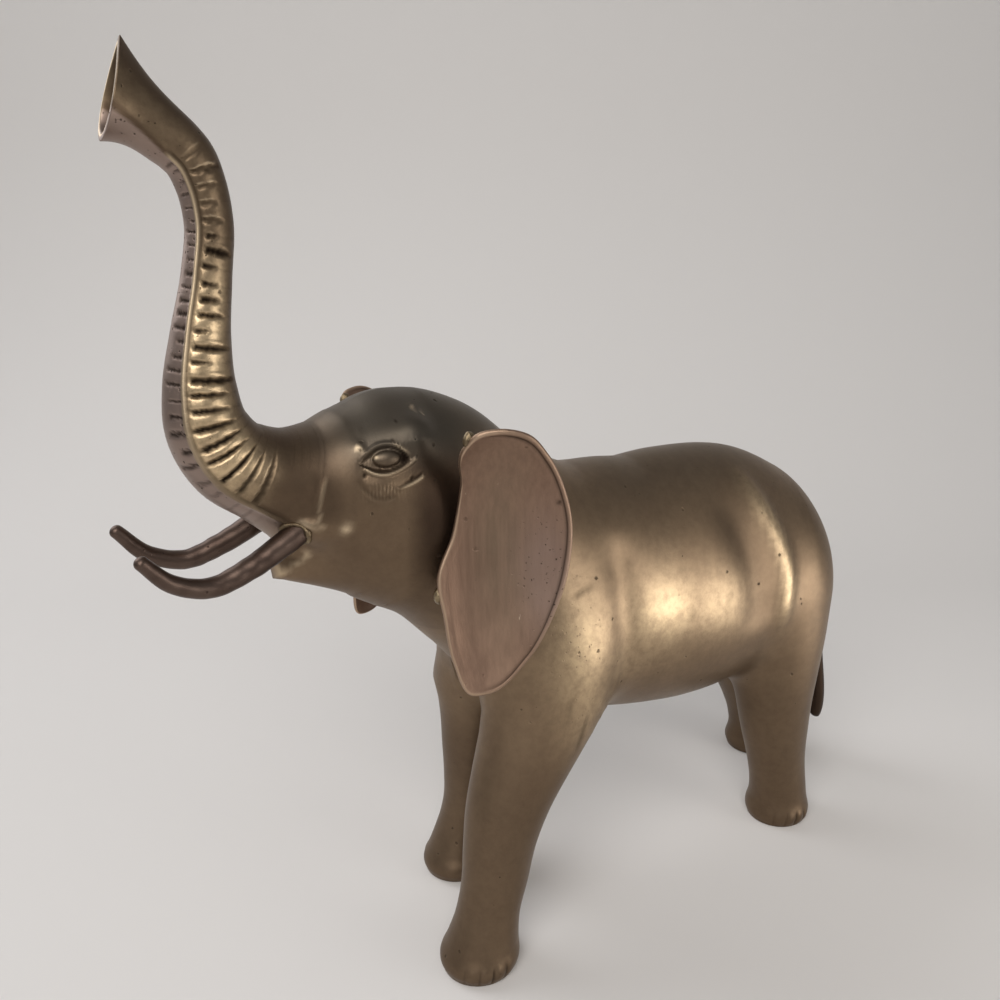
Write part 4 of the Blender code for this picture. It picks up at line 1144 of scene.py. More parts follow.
# Painted shade on the front of the face, which turns away from the light
snout = fade(-y, 146.0, 158.0) * fade(z, 196.0, 208.0)
legs = (1.0 - fade(z, 70.0, 112.0)) * 0.38
cheeks = (1.0 - fade(y, -128.0, -112.0)) * fade(z, 140.0, 160.0) * (1.0 - fade(-y, 150.0, 170.0))
# Painted shade in the hollow in front of the haunch's crest
valleys = stroke(points, HAUNCH_HOLLOW, 9.0, 0.22) * fade(x, 20.0, 30.0)
# Darker patina on the legs, cheeks and tail, and painted shade by the ear, on the face's front, in the
# haunch hollow and inside the mouth
umber_and_shade = np.maximum.reduce((by_ear, 0.62 * snout, 0.32 * cheeks, 0.3 * valleys, legs, 0.6 * inside_mouth))
# Painted shade: grooves, creases, dents, toe cuts and the mouth's hollow are darkened where shade falls
store(casting_mesh, "cut", np.clip(np.maximum.reduce((
    trunk_dark * free, face_dark, flank_dark, 0.8 * np.clip(toes, 0, 1), mouth_shade)), 0.0, 1.0))
# Painted highlights (the eye's glint, lit lids, knots, groove edges and rims) together with real wear on
# scratches and ridges
store(casting_mesh, "worn_and_highlit", np.clip(np.maximum.reduce((
    trunk_bright * free, face_bright, 0.8 * mouth_rim)), 0.0, 1.0))
store(casting_mesh, "gold", np.clip(np.maximum(gold, rubbed), 0.0, 1.0))
store(casting_mesh, "under", under)
store(casting_mesh, "pitted", np.clip(np.maximum(pitted, 0.55 * rubbed * (y < -40.0)), 0.0, 1.0))
store(casting_mesh, "dusky", np.clip(np.maximum(0.95 * crown, 0.55 * back), 0.0, 1.0))
store(casting_mesh, "umber_and_shade", np.clip(np.maximum(umber_and_shade, tail), 0.0, 1.0))
set_points(casting_mesh, placed(points))
casting_mesh.shade_smooth()


def new_piece(name, mesh, node):
    """A piece that rides with the statue in place of its solid."""
    piece = bpy.data.objects.new(name, mesh)
    bpy.context.scene.collection.objects.link(piece)
    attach(piece, "root")
    if node:
        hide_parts(node)
    return piece


body = new_piece("elephant_body", casting_mesh, "elephant_casting")
print("triangles in the casting:", sum(len(face.vertices) - 2 for face in casting_mesh.polygons))

# %% [markdown]
# ## The ears
# Each ear is a thin dished plate of redder metal, brazed on along its front edge. Its outline is a
# closed curve, and the plate is built from circles of points between the rim and the middle.
# A cut sheet with a solidify modifier would be quicker, but its edge would be square: here the
# two faces meet in a rounded edge that can catch a line of light.

# %% Ear plates
EAR_OUTLINE = (
    (-110.5, 235.4),
    (-117.0, 233.8),
    (-119.6, 229.0),
    (-116.6, 214.0),
    (-118.0, 196.0),
    (-124.6, 179.0),
    (-123.6, 165.0),
    (-122.6, 148.0),
    (-118.6, 136.4),
    (-112.0, 136.0),
    (-98.4, 146.8),
    (-88.0, 164.0),
    (-82.4, 182.0),
    (-81.8, 200.0),
    (-85.4, 212.0),
    (-93.0, 225.0),
    (-102.0, 233.6),
)
EAR_CENTRE = (-103.0, 186.0)
EAR_ROOT = (34.0, -113.0, 192.0)
EAR_TOP_FLARE = 19.0
EAR_FOOT_FLARE = 12.0
EAR_REAR_FLARE = 0.75
EAR_TOP_REACH = 44.0
EAR_FOOT_REACH = 56.0
EAR_HALF_THICKNESS = 1.1
EAR_CLEARANCE = 0.5
EAR_EASE = 3.0
EAR_BEND = 7.0
RIGHT_EAR_LEAD = -3.0
EAR_SPOKES = 200
EAR_CIRCLES = 34
EAR_BLEMISH = (-82.0, 207.0)
# Distances in from the rim, where the edge is rounded
EAR_EDGE = (0.0, 0.12, 0.4, 0.8, 1.2, 1.6, 2.1, 2.7, 3.5)


def ear_x(y, z):
    """How far out the plate stands at a place of the left side."""
    root_x, root_y, root_z = EAR_ROOT
    top = np.maximum(z - root_z, 0.0) / EAR_TOP_REACH
    foot = np.maximum(root_z - z, 0.0) / EAR_FOOT_REACH
    rear = 0.5 * (y - root_y + np.hypot(y - root_y, EAR_BEND)) - 0.2 * EAR_BEND
    return root_x + EAR_TOP_FLARE * top ** 2 + EAR_FOOT_FLARE * foot ** 2 + EAR_REAR_FLARE * rear


def closed_curve(places, count):
    """Evenly spaced points on a smooth closed curve."""
    lap = len(places)
    rows = smooth_rows(list(places) * 3, 0.25)
    chord = np.linalg.norm(np.diff(np.array(list(places) * 3), axis=0), axis=1)
    start = chord[:lap].sum() / chord.sum() * (len(rows) - 1)
    end = chord[:2 * lap].sum() / chord.sum() * (len(rows) - 1)
    where = start + (end - start) * np.arange(count) / count
    return np.stack([np.interp(where, np.arange(len(rows)), rows[:, column]) for column in (0, 1)], axis=1)


def stand_clear(place):
    """Moves places of the plate out of the head, softly at first."""
    clear = EAR_HALF_THICKNESS + EAR_CLEARANCE
    short = clear - body_distance(place)
    place[:, 0] += 0.5 * (short + np.hypot(short, EAR_EASE))
    for _ in range(6):
        place[:, 0] += np.maximum(clear - body_distance(place), 0.0)
    return place


def build_ear(name, side, node, lead):
    rim = closed_curve(EAR_OUTLINE, EAR_SPOKES)
    middle = np.array(EAR_CENTRE)
    radius = np.linalg.norm(rim - middle, axis=1)
    inward = [rim + (middle - rim) * (depth / radius)[:, None] for depth in EAR_EDGE]
    last = inward[-1]
    inward += [last + (middle - last) * share for share in np.linspace(0.0, 0.985, EAR_CIRCLES)[1:]]
    flat = np.concatenate(inward + [middle[None, :]])
    depth_in = np.concatenate([np.full(EAR_SPOKES, depth) for depth in EAR_EDGE])
    depth_in = np.concatenate((depth_in, np.full(len(flat) - len(depth_in), 10.0)))
    y, z = flat[:, 0], flat[:, 1]
    x = ear_x(y, z)
    slope_y = ear_x(y + 0.5, z) - ear_x(y - 0.5, z)
    slope_z = ear_x(y, z + 0.5) - ear_x(y, z - 0.5)
    normal = np.stack((np.ones(len(x)), -slope_y, -slope_z), axis=1)
    normal /= np.linalg.norm(normal, axis=1)[:, None]
    place = stand_clear(np.stack((x, y + lead, z), axis=1))
    place = place + normal * (0.35 * wobble(flat, 45.0, 3) * fade(depth_in, 0.0, 8.0))[:, None]
    edge = np.clip(depth_in / EAR_HALF_THICKNESS, 0.0, 1.0)
    half = EAR_HALF_THICKNESS * np.sqrt(1.0 - (1.0 - edge) ** 2)
    rear = fade(y, -118.0, -104.0)
    groove = 0.28 * bell(depth_in - 1.7, 0.4) * rear
    outer = place + normal * (half - groove)[:, None]
    inner = place - normal * half[:, None]
    turn = np.array((side, 1.0, 1.0))
    count = len(outer)
    faces = []
    circles = len(inward)
    for sheet in (0, count):
        for circle in range(circles - 1):
            for spoke in range(EAR_SPOKES):
                a = circle * EAR_SPOKES + spoke
                b = circle * EAR_SPOKES + (spoke + 1) % EAR_SPOKES
                corners = [a, b, b + EAR_SPOKES, a + EAR_SPOKES]
                faces.append(tuple(corner if corner < EAR_SPOKES else corner + sheet for corner in corners))
        for spoke in range(EAR_SPOKES):
            a = (circles - 1) * EAR_SPOKES + sheet
            faces.append((a + spoke, a + (spoke + 1) % EAR_SPOKES, sheet + count - 1))
    both = np.concatenate((outer, inner)) * turn
    kept = [number for number in range(2 * count) if not count <= number < count + EAR_SPOKES]
    renumber = {number: at for at, number in enumerate(kept)}
    faces = [tuple(renumber[number] for number in face) for face in faces]
    mesh = new_mesh(name, placed(both[kept]), faces)
    doubled = np.concatenate((depth_in, depth_in))[kept]
    rear_all = np.concatenate((rear, rear))[kept]
    yz = np.concatenate((flat, flat))[kept]
    blemish = bell(np.hypot(yz[:, 0] - EAR_BLEMISH[0] + 4.0, yz[:, 1] - EAR_BLEMISH[1]), 0.9)
    # Painted shade along the groove by the rear rim, and a dark blemish
    store(mesh, "cut", np.maximum(0.85 * bell(doubled - 1.7, 0.38) * rear_all, 0.8 * blemish))
    front = 1.0 - rear_all
    # A painted highlight along the rounded rim, with some wear, stronger at the front
    store(mesh, "worn_and_highlit", bell(doubled - 0.5, 0.5) * (0.25 + 0.45 * front))
    patch = bell(yz[:, 0] + 89.0, 7.5) * bell(yz[:, 1] - 178.0, 22.0)
    store(mesh, "pitted", np.clip(1.3 * patch, 0.0, 1.0))
    store(mesh, "olive", bell(yz[:, 0] + 103.0, 9.0) * bell(yz[:, 1] - 190.0, 32.0))
    mesh.shade_smooth()
    return new_piece(name, mesh, node)


ears = [
    build_ear("left_ear_plate", 1, "left_ear", 0.0),
    build_ear("right_ear_plate", -1, "right_ear", RIGHT_EAR_LEAD),
]
print("triangles in an ear:", sum(len(face.vertices) - 2 for face in ears[0].data.polygons))

# %% [markdown]
# ## The tusks
# Each tusk is a thin rod that swings down, out and up again, with a blunt tip. It stands in a
# hole in the face, where a bead of bright braze runs round it.

# %% Tusks and their beads
TUSK_CURVE = (
    (12.6, -148.0, 208.4),
    (13.8, -160.0, 203.2),
    (15.0, -172.0, 197.2),
    (16.0, -186.0, 190.6),
    (16.6, -199.0, 187.2),
    (17.6, -211.0, 191.4),
    (19.3, -220.0, 201.0),
)
TUSK_RADIUS = 4.4
TUSK_TIP_RADIUS = 2.4
TUSK_SEGMENTS = 36
TUSK_RINGS = 90
TIP_RINGS = 8
BEAD_RADIUS = 1.0


def tube(line, radius, segments, seed, rough):
    """A skin of rings round a line of points, a little uneven."""
    run = np.gradient(line, axis=0)
    run /= np.linalg.norm(run, axis=1)[:, None]
    angle = ring_angles(segments)
    skin = Skin()
    rings = []
    for place, thick, along in zip(line, radius, run):
        across = np.cross(along, (1.0, 0.0, 0.0))
        across /= np.linalg.norm(across)
        other = np.cross(along, across)
        ring = place + thick * (np.cos(angle)[:, None] * across + np.sin(angle)[:, None] * other)
        rings.append(skin.add_ring(ring + (ring - place) * (rough * wobble(ring, 9.0, seed))[:, None]))
    for upper, lower in zip(rings, rings[1:]):
        skin.join(upper, lower)
    skin.faces.append(tuple(rings[0]))
    return skin, rings


def tusk_line(side):
    rows = smooth_rows([(y, z, x) for x, y, z in TUSK_CURVE], 0.5)
    line = np.stack((side * rows[:, 2], rows[:, 0], rows[:, 1]), axis=1)
    start = int(np.argmax(body_distance(line) > 0.0))
    return line[max(start - 12, 0):], line[start]


def build_tusk(name, side, node):
    line = tusk_line(side)[0]
    run = np.concatenate(([0.0], np.cumsum(np.linalg.norm(np.diff(line, axis=0), axis=1))))
    where = np.linspace(0.0, run[-1], TUSK_RINGS)
    line = np.stack([np.interp(where, run, line[:, column]) for column in range(3)], axis=1)
    share = where / run[-1]
    radius = TUSK_RADIUS + (TUSK_TIP_RADIUS - TUSK_RADIUS) * share ** 1.6
    ahead = (line[-1] - line[-2]) / np.linalg.norm(line[-1] - line[-2])
    bend = np.linspace(0.0, 0.5 * math.pi, TIP_RINGS + 1)[1:-1]
    tip = line[-1] + ahead * (radius[-1] * 0.85 * np.sin(bend))[:, None]
    end = line[-1] + ahead * radius[-1] * 0.85
    tip_radius = radius[-1] * np.cos(bend)
    line = np.concatenate((line, tip))
    radius = np.concatenate((radius, tip_radius))
    skin, rings = tube(line, radius, TUSK_SEGMENTS, 5, 0.035)
    skin.close(rings[-1], end)
    mesh = new_mesh(name, placed(skin.points), skin.faces)
    mesh.shade_smooth()
    return new_piece(name, mesh, node)


def build_bead(name, side):
    """A bead of braze round the tusk where it enters the face."""
    line, mouth = tusk_line(side)
    start = int(np.argmin(np.linalg.norm(line - mouth, axis=1)))
    along = line[start + 2] - line[start - 2]
    along /= np.linalg.norm(along)
    across = np.cross(along, (1.0, 0.0, 0.0))
    across /= np.linalg.norm(across)
    other = np.cross(along, across)
    turn = ring_angles(64)
    small = ring_angles(12)
    skin = Skin()
    rings = []
    for number, angle in enumerate(turn):
        out = np.cos(angle) * across + np.sin(angle) * other
        spot = line[start] + out * TUSK_RADIUS
        reach = np.linspace(-9.0, 9.0, 73)
        depth = body_distance(spot + along * reach[:, None])
        level = reach[int(np.argmax(depth > 0.0))]
        size = BEAD_RADIUS * (1.0 + 0.25 * math.sin(3 * angle + 1.0) + 0.15 * math.sin(7 * angle))
        ring = spot + along * level + size * (np.cos(small)[:, None] * out + np.sin(small)[:, None] * along)
        rings.append(skin.add_ring(ring))
    for upper, lower in zip(rings, rings[1:] + rings[:1]):
        skin.join(upper, lower)
    mesh = new_mesh(name, placed(skin.points), skin.faces)
    mesh.shade_smooth()
    return new_piece(name, mesh, None)


tusks = [build_tusk("left_tusk_rod", 1, "left_tusk"), build_tusk("right_tusk_rod", -1, "right_tusk")]
beads = [build_bead("left_tusk_bead", 1), build_bead("right_tusk_bead", -1)]
print("triangles in a tusk:", sum(len(face.vertices) - 2 for face in tusks[0].data.polygons))

# %% [markdown]
# ## Braze at the ears
# Two lumps of braze join each ear to the head, one at the top of its front edge and one half
# way down. They are rounded lumps, pressed out of shape, that reach from the plate to the head.

# %% Braze lumps
BRAZE_PLACES = ((-118.4, 231.4, 2.6), (-124.2, 172.5, 2.9))


def build_braze(name, side, lead):
    form = bmesh.new()
    for y, z, size in BRAZE_PLACES:
        x = float(ear_x(np.array([y]), np.array([z]))[0])
        place = stand_clear(np.array([[x, y + lead, z]]))
        lump = bmesh.ops.create_icosphere(form, subdivisions=4, radius=size)["verts"]
        local = np.array([vertex.co for vertex in lump])
        local *= 1.0 + 0.22 * wobble(local, 7.0, int(z))[:, None]
        local *= (0.75, 0.8, 1.15)
        spot = place[0] - (1.6, -0.8, 0.0)
        for vertex, co in zip(lump, (local + spot) * (side, 1.0, 1.0)):
            vertex.co = placed(co)
    bmesh.ops.recalc_face_normals(form, faces=form.faces)
    mesh = bpy.data.meshes.new(name)
    form.to_mesh(mesh)
    form.free()
    mesh.shade_smooth()
    return new_piece(name, mesh, None)


brazes = [build_braze("left_ear_braze", 1, 0.0), build_braze("right_ear_braze", -1, RIGHT_EAR_LEAD)]
print("lumps at each ear:", len(BRAZE_PLACES))

# %% [markdown]
# ## Effects that the metals share
# The metals here share three effects: cloudy patina, small casting pits, and grain. Each is a node
# group with named inputs, so one material can have it strong, the next one faint, or not at all.

# %% Node helpers
def put(tree, kind, **values):
    """Adds a node. Values named after its sockets are set, and other names are its own settings."""
    node = tree.nodes.new(kind)
    for name, value in values.items():
        label = name.replace("_", " ")
        match = [socket for socket in node.inputs if socket.name.lower() == label.lower()]
        if match:
            match[0].default_value = value
        else:
            setattr(node, name, value)
    return node


def new_group(name, inputs, outputs):
    tree = bpy.data.node_groups.new(name, "ShaderNodeTree")
    for label, kind, value in inputs:
        socket = tree.interface.new_socket(label, in_out="INPUT", socket_type=kind)
        socket.default_value = value
    for label, kind in outputs:
        tree.interface.new_socket(label, in_out="OUTPUT", socket_type=kind)
    return tree, put(tree, "NodeGroupInput"), put(tree, "NodeGroupOutput")


def ramp(tree, source, stops):
    """A colour ramp of grey stops: place and value."""
    node = put(tree, "ShaderNodeValToRGB")
    elements = node.color_ramp.elements
    while len(elements) < len(stops):
        elements.new(0.5)
    for element, (place, value) in zip(elements, stops):
        element.position = place
        element.color = (value, value, value, 1.0)
    tree.links.new(source, node.inputs["Fac"])
    return node.outputs["Color"]


def mixed(tree, factor, first, second, blend="MIX"):
    """Mixes two colours. Each may be a socket or a plain colour."""
    node = put(tree, "ShaderNodeMix", data_type="RGBA", blend_type=blend)
    for socket, value in ((node.inputs[0], factor), (node.inputs[6], first), (node.inputs[7], second)):
        if isinstance(value, bpy.types.NodeSocket):
            tree.links.new(value, socket)
        elif isinstance(value, tuple):
            socket.default_value = (*value, 1.0)
        else:
            socket.default_value = value
    return node.outputs[2]


def sums(tree, operation, first, second=None):
    node = put(tree, "ShaderNodeMath", operation=operation)
    for socket, value in zip(node.inputs, (first, second)):
        if isinstance(value, bpy.types.NodeSocket):
            tree.links.new(value, socket)
        elif value is not None:
            socket.default_value = value
    return node.outputs[0]


print("node helpers ready")

# %% Patina, pits and grain
def patina_group():
    """Clouds of two tones, with blotches."""
    tree, ins, outs = new_group(
        "cloudy_patina",
        (("Size", "NodeSocketFloat", 22.0), ("Contrast", "NodeSocketFloat", 0.5)),
        (("Cloud", "NodeSocketFloat"), ("Blotch", "NodeSocketFloat")),
    )
    where = put(tree, "ShaderNodeTexCoord").outputs["Object"]
    cloud = put(tree, "ShaderNodeTexNoise", detail=5.0, roughness=0.6, distortion=0.6)
    tree.links.new(where, cloud.inputs["Vector"])
    tree.links.new(ins.outputs["Size"], cloud.inputs["Scale"])
    centred = sums(tree, "SUBTRACT", cloud.outputs["Fac"], 0.5)
    stretched = sums(tree, "MULTIPLY", centred, ins.outputs["Contrast"])
    raised = sums(tree, "ADD", sums(tree, "MULTIPLY", stretched, 5.0), 0.5)
    clear = put(tree, "ShaderNodeClamp")
    tree.links.new(raised, clear.inputs["Value"])
    tree.links.new(clear.outputs["Result"], outs.inputs["Cloud"])
    blotch = put(tree, "ShaderNodeTexNoise", detail=3.0, roughness=0.7)
    tree.links.new(where, blotch.inputs["Vector"])
    tree.links.new(sums(tree, "MULTIPLY", ins.outputs["Size"], 14.0), blotch.inputs["Scale"])
    tree.links.new(ramp(tree, blotch.outputs["Fac"], ((0.38, 0.0), (0.66, 1.0))), outs.inputs["Blotch"])
    return tree


def pits_group():
    """Small round casting pits, as a mask and as a height."""
    tree, ins, outs = new_group(
        "casting_pits",
        (("Size", "NodeSocketFloat", 420.0), ("Amount", "NodeSocketFloat", 0.2)),
        (("Mask", "NodeSocketFloat"), ("Depth", "NodeSocketFloat")),
    )
    where = put(tree, "ShaderNodeTexCoord").outputs["Object"]
    bend = put(tree, "ShaderNodeTexNoise", scale=900.0, detail=2.0)
    tree.links.new(where, bend.inputs["Vector"])
    moved = put(tree, "ShaderNodeVectorMath", operation="MULTIPLY_ADD")
    tree.links.new(bend.outputs["Color"], moved.inputs[0])
    moved.inputs[1].default_value = (0.0012, 0.0012, 0.0012)
    tree.links.new(where, moved.inputs[2])
    cells = put(tree, "ShaderNodeTexVoronoi", randomness=1.0)
    tree.links.new(moved.outputs[0], cells.inputs["Vector"])
    tree.links.new(ins.outputs["Size"], cells.inputs["Scale"])
    thin = put(tree, "ShaderNodeSeparateColor")
    tree.links.new(cells.outputs["Color"], thin.inputs["Color"])
    chosen = sums(tree, "LESS_THAN", thin.outputs[0], ins.outputs["Amount"])
    size = sums(tree, "ADD", sums(tree, "MULTIPLY", thin.outputs[1], 0.22), 0.10)
    near = sums(tree, "SUBTRACT", 1.0, sums(tree, "DIVIDE", cells.outputs["Distance"], size))
    hole = put(tree, "ShaderNodeClamp")
    tree.links.new(sums(tree, "MULTIPLY", near, 2.2), hole.inputs["Value"])
    mask = sums(tree, "MULTIPLY", hole.outputs["Result"], chosen)
    tree.links.new(mask, outs.inputs["Mask"])
    tree.links.new(sums(tree, "MULTIPLY", mask, -1.0), outs.inputs["Depth"])
    return tree


def grain_group():
    """Fine grain, stretched along one axis where the metal was brushed."""
    tree, ins, outs = new_group(
        "metal_grain",
        (("Stretch", "NodeSocketVector", (1.0, 1.0, 1.0)), ("Fineness", "NodeSocketFloat", 1500.0)),
        (("Grain", "NodeSocketFloat"),),
    )
    where = put(tree, "ShaderNodeTexCoord").outputs["Object"]
    scaled = put(tree, "ShaderNodeVectorMath", operation="MULTIPLY")
    tree.links.new(where, scaled.inputs[0])
    tree.links.new(ins.outputs["Stretch"], scaled.inputs[1])
    grain = put(tree, "ShaderNodeTexNoise", detail=4.0, roughness=0.65)
    tree.links.new(scaled.outputs[0], grain.inputs["Vector"])
    tree.links.new(ins.outputs["Fineness"], grain.inputs["Scale"])
    tree.links.new(grain.outputs["Fac"], outs.inputs["Grain"])
    return tree


PATINA = patina_group()
PITS = pits_group()
GRAIN = grain_group()
print("groups:", PATINA.name, PITS.name, GRAIN.name)

# %% [markdown]
# ## The metals
# The casting is satin brass under a thin brown patina: nearly grey-green on the crown and back,
# golden where it is rubbed. Shade is painted almost black into the cuts and dark by the ears, and
# highlights are painted on edges and knots. The ears are redder and brushed from top to bottom.
# The tusks are the darkest.

# %% Metal materials
def new_metal(name, metallic):
    material = bpy.data.materials.new(name)
    material.use_nodes = True
    tree = material.node_tree
    shader = tree.nodes["Principled BSDF"]
    shader.inputs["Metallic"].default_value = metallic
    return material, tree, shader


def placed_group(tree, group, **values):
    node = put(tree, "ShaderNodeGroup")
    node.node_tree = group
    for name, value in values.items():
        node.inputs[name].default_value = value
    return node


def stored(tree, name):
    return put(tree, "ShaderNodeAttribute", attribute_name=name).outputs["Fac"]


def dent(tree, shader, heights):
    """Bumps in a row, each with a distance in metres and a strength, into the shader's normal."""
    last = None
    for height, distance, strength in heights:
        bump = put(tree, "ShaderNodeBump", distance=distance, strength=strength)
        tree.links.new(height, bump.inputs["Height"])
        if last is not None:
            tree.links.new(last, bump.inputs["Normal"])
        last = bump.outputs["Normal"]
    tree.links.new(last, shader.inputs["Normal"])


def cast_brass():
    material, tree, shader = new_metal("cast_brass_patina", 1.0)
    patina = placed_group(tree, PATINA, Size=16.0, Contrast=0.45)
    pits = placed_group(tree, PITS, Size=330.0, Amount=0.055)
    dense = placed_group(tree, PITS, Size=620.0, Amount=0.42)
    grain = placed_group(tree, GRAIN, Fineness=1300.0)
    colour = mixed(tree, patina.outputs["Cloud"], (0.200, 0.138, 0.088), (0.270, 0.192, 0.122))
    colour = mixed(tree, sums(tree, "MULTIPLY", patina.outputs["Blotch"], 0.25), colour, (0.13, 0.09, 0.06))
    # Darker patina, and painted shade by the ears, on the face's front, in the hollows and inside the
    # trunk's mouth
    colour = mixed(tree, sums(tree, "MULTIPLY", stored(tree, "umber_and_shade"), 0.92), colour, (0.040, 0.025, 0.018))
    colour = mixed(tree, sums(tree, "MULTIPLY", stored(tree, "dusky"), 0.8), colour, (0.105, 0.095, 0.078))
    gold = stored(tree, "gold")
    speckle = sums(tree, "SUBTRACT", 1.0, sums(tree, "MULTIPLY", patina.outputs["Blotch"], 0.45))
    colour = mixed(tree, sums(tree, "MULTIPLY", gold, speckle), colour, (0.66, 0.50, 0.31))
    colour = mixed(tree, sums(tree, "MULTIPLY", stored(tree, "under"), 0.8), colour, (0.36, 0.275, 0.235))
    # Painted highlights and wear, lightening edges, ridges and knots
    colour = mixed(tree, stored(tree, "worn_and_highlit"), colour, (0.78, 0.62, 0.42))
    dots = sums(tree, "MULTIPLY", dense.outputs["Mask"], stored(tree, "pitted"))
    spots = sums(tree, "MAXIMUM", dots, sums(tree, "MULTIPLY", pits.outputs["Mask"], 0.6))
    colour = mixed(tree, sums(tree, "MULTIPLY", spots, 0.85), colour, (0.03, 0.022, 0.015))
    # Painted shade: cuts, creases and the mouth's hollow go nearly black
    cut = stored(tree, "cut")
    colour = mixed(tree, cut, colour, (0.016, 0.010, 0.007))
    tree.links.new(colour, shader.inputs["Base Color"])
    rough = sums(tree, "ADD", sums(tree, "MULTIPLY", patina.outputs["Cloud"], -0.06), 0.41)
    rough = sums(tree, "ADD", rough, sums(tree, "MULTIPLY", gold, -0.06))
    rough = sums(tree, "ADD", rough, sums(tree, "MULTIPLY", grain.outputs["Grain"], 0.10))
    rough = sums(tree, "ADD", rough, sums(tree, "MULTIPLY", sums(tree, "MAXIMUM", cut, spots), 0.35))
    tree.links.new(rough, shader.inputs["Roughness"])
    dent(tree, shader, (
        (grain.outputs["Grain"], 0.0002, 0.22),
        (pits.outputs["Depth"], 0.0005, 0.35),
        (sums(tree, "MULTIPLY", dots, -1.0), 0.0006, 0.6),
    ))
    return material


def ear_copper():
    material, tree, shader = new_metal("ear_copper_brushed", 1.0)
    patina = placed_group(tree, PATINA, Size=20.0, Contrast=0.4)
    brushed = placed_group(tree, GRAIN, Stretch=(1.0, 1.0, 0.06), Fineness=520.0)
    fine = placed_group(tree, GRAIN, Stretch=(1.0, 1.0, 0.12), Fineness=1800.0)
    nicks = placed_group(tree, GRAIN, Stretch=(1.0, 1.0, 0.22), Fineness=420.0)
    dense = placed_group(tree, PITS, Size=700.0, Amount=0.6)
    pits = placed_group(tree, PITS, Size=260.0, Amount=0.12)
    colour = mixed(tree, patina.outputs["Cloud"], (0.205, 0.125, 0.090), (0.275, 0.185, 0.130))
    colour = mixed(tree, sums(tree, "MULTIPLY", stored(tree, "olive"), 0.5), colour, (0.175, 0.140, 0.095))
    streak = ramp(tree, brushed.outputs["Grain"], ((0.35, 0.0), (0.65, 1.0)))
    colour = mixed(tree, sums(tree, "MULTIPLY", streak, 0.40), colour, (0.34, 0.225, 0.160))
    nick = ramp(tree, nicks.outputs["Grain"], ((0.70, 0.0), (0.76, 1.0)))
    colour = mixed(tree, sums(tree, "MULTIPLY", nick, 0.6), colour, (0.62, 0.50, 0.38))
    dots = sums(tree, "MULTIPLY", dense.outputs["Mask"], stored(tree, "pitted"))
    spots = sums(tree, "MAXIMUM", dots, sums(tree, "MULTIPLY", pits.outputs["Mask"], 0.4))
    colour = mixed(tree, sums(tree, "MULTIPLY", stored(tree, "pitted"), 0.55), colour, (0.31, 0.225, 0.19))
    colour = mixed(tree, sums(tree, "MULTIPLY", spots, 0.8), colour, (0.06, 0.04, 0.03))
    # Painted highlight and wear along the rim
    colour = mixed(tree, stored(tree, "worn_and_highlit"), colour, (0.60, 0.44, 0.31))
    # Painted shade in the rim's groove, and the blemish
    cut = stored(tree, "cut")
    colour = mixed(tree, cut, colour, (0.03, 0.02, 0.015))
    tree.links.new(colour, shader.inputs["Base Color"])
    rough = sums(tree, "ADD", sums(tree, "MULTIPLY", fine.outputs["Grain"], 0.16), 0.40)
    rough = sums(tree, "ADD", rough, sums(tree, "MULTIPLY", sums(tree, "MAXIMUM", cut, spots), 0.3))
    tree.links.new(rough, shader.inputs["Roughness"])
    dent(tree, shader, (
        (fine.outputs["Grain"], 0.0002, 0.30),
        (brushed.outputs["Grain"], 0.0004, 0.18),
        (sums(tree, "MULTIPLY", spots, -1.0), 0.0006, 0.6),
    ))
    return material


def tusk_bronze():
    material, tree, shader = new_metal("tusk_bronze_satin", 1.0)
    patina = placed_group(tree, PATINA, Size=60.0, Contrast=0.5)
    grain = placed_group(tree, GRAIN, Fineness=1100.0)
    pits = placed_group(tree, PITS, Size=480.0, Amount=0.14)
    colour = mixed(tree, patina.outputs["Cloud"], (0.080, 0.054, 0.043), (0.130, 0.092, 0.074))
    colour = mixed(tree, sums(tree, "MULTIPLY", pits.outputs["Mask"], 0.7), colour, (0.03, 0.02, 0.015))
    tree.links.new(colour, shader.inputs["Base Color"])
    rough = sums(tree, "ADD", sums(tree, "MULTIPLY", grain.outputs["Grain"], 0.15), 0.33)
    tree.links.new(rough, shader.inputs["Roughness"])
    dent(tree, shader, ((grain.outputs["Grain"], 0.0002, 0.3), (pits.outputs["Depth"], 0.0004, 0.4)))
    return material


def braze_gold():
    material, tree, shader = new_metal("braze_gold", 1.0)
    patina = placed_group(tree, PATINA, Size=120.0, Contrast=0.6)
    grain = placed_group(tree, GRAIN, Fineness=900.0)
    colour = mixed(tree, patina.outputs["Cloud"], (0.13, 0.095, 0.06), (0.36, 0.28, 0.17))
    tree.links.new(colour, shader.inputs["Base Color"])
    rough = sums(tree, "ADD", sums(tree, "MULTIPLY", grain.outputs["Grain"], 0.2), 0.28)
    tree.links.new(rough, shader.inputs["Roughness"])
    dent(tree, shader, ((grain.outputs["Grain"], 0.0004, 0.5),))
    return material


def dress(pieces, material):
    for piece in pieces:
        piece.data.materials.clear()
        piece.data.materials.append(material)


dress([body], cast_brass())
dress(ears, ear_copper())
dress(tusks, tusk_bronze())
dress(beads + brazes, braze_gold())
print("materials:", len(bpy.data.materials))

# %% [markdown]
# ## Floor, light and camera
# A pale floor sweeps up behind the statue with no corner, so no line shows. A large soft light
# stands above and behind the camera, and a weaker one lights the head's far side. Two small ones
# stand on the right: one brightens the flank, and one close to the floor lights the belly from
# below. The camera stands close by and a little above the statue's back, as in the photograph.

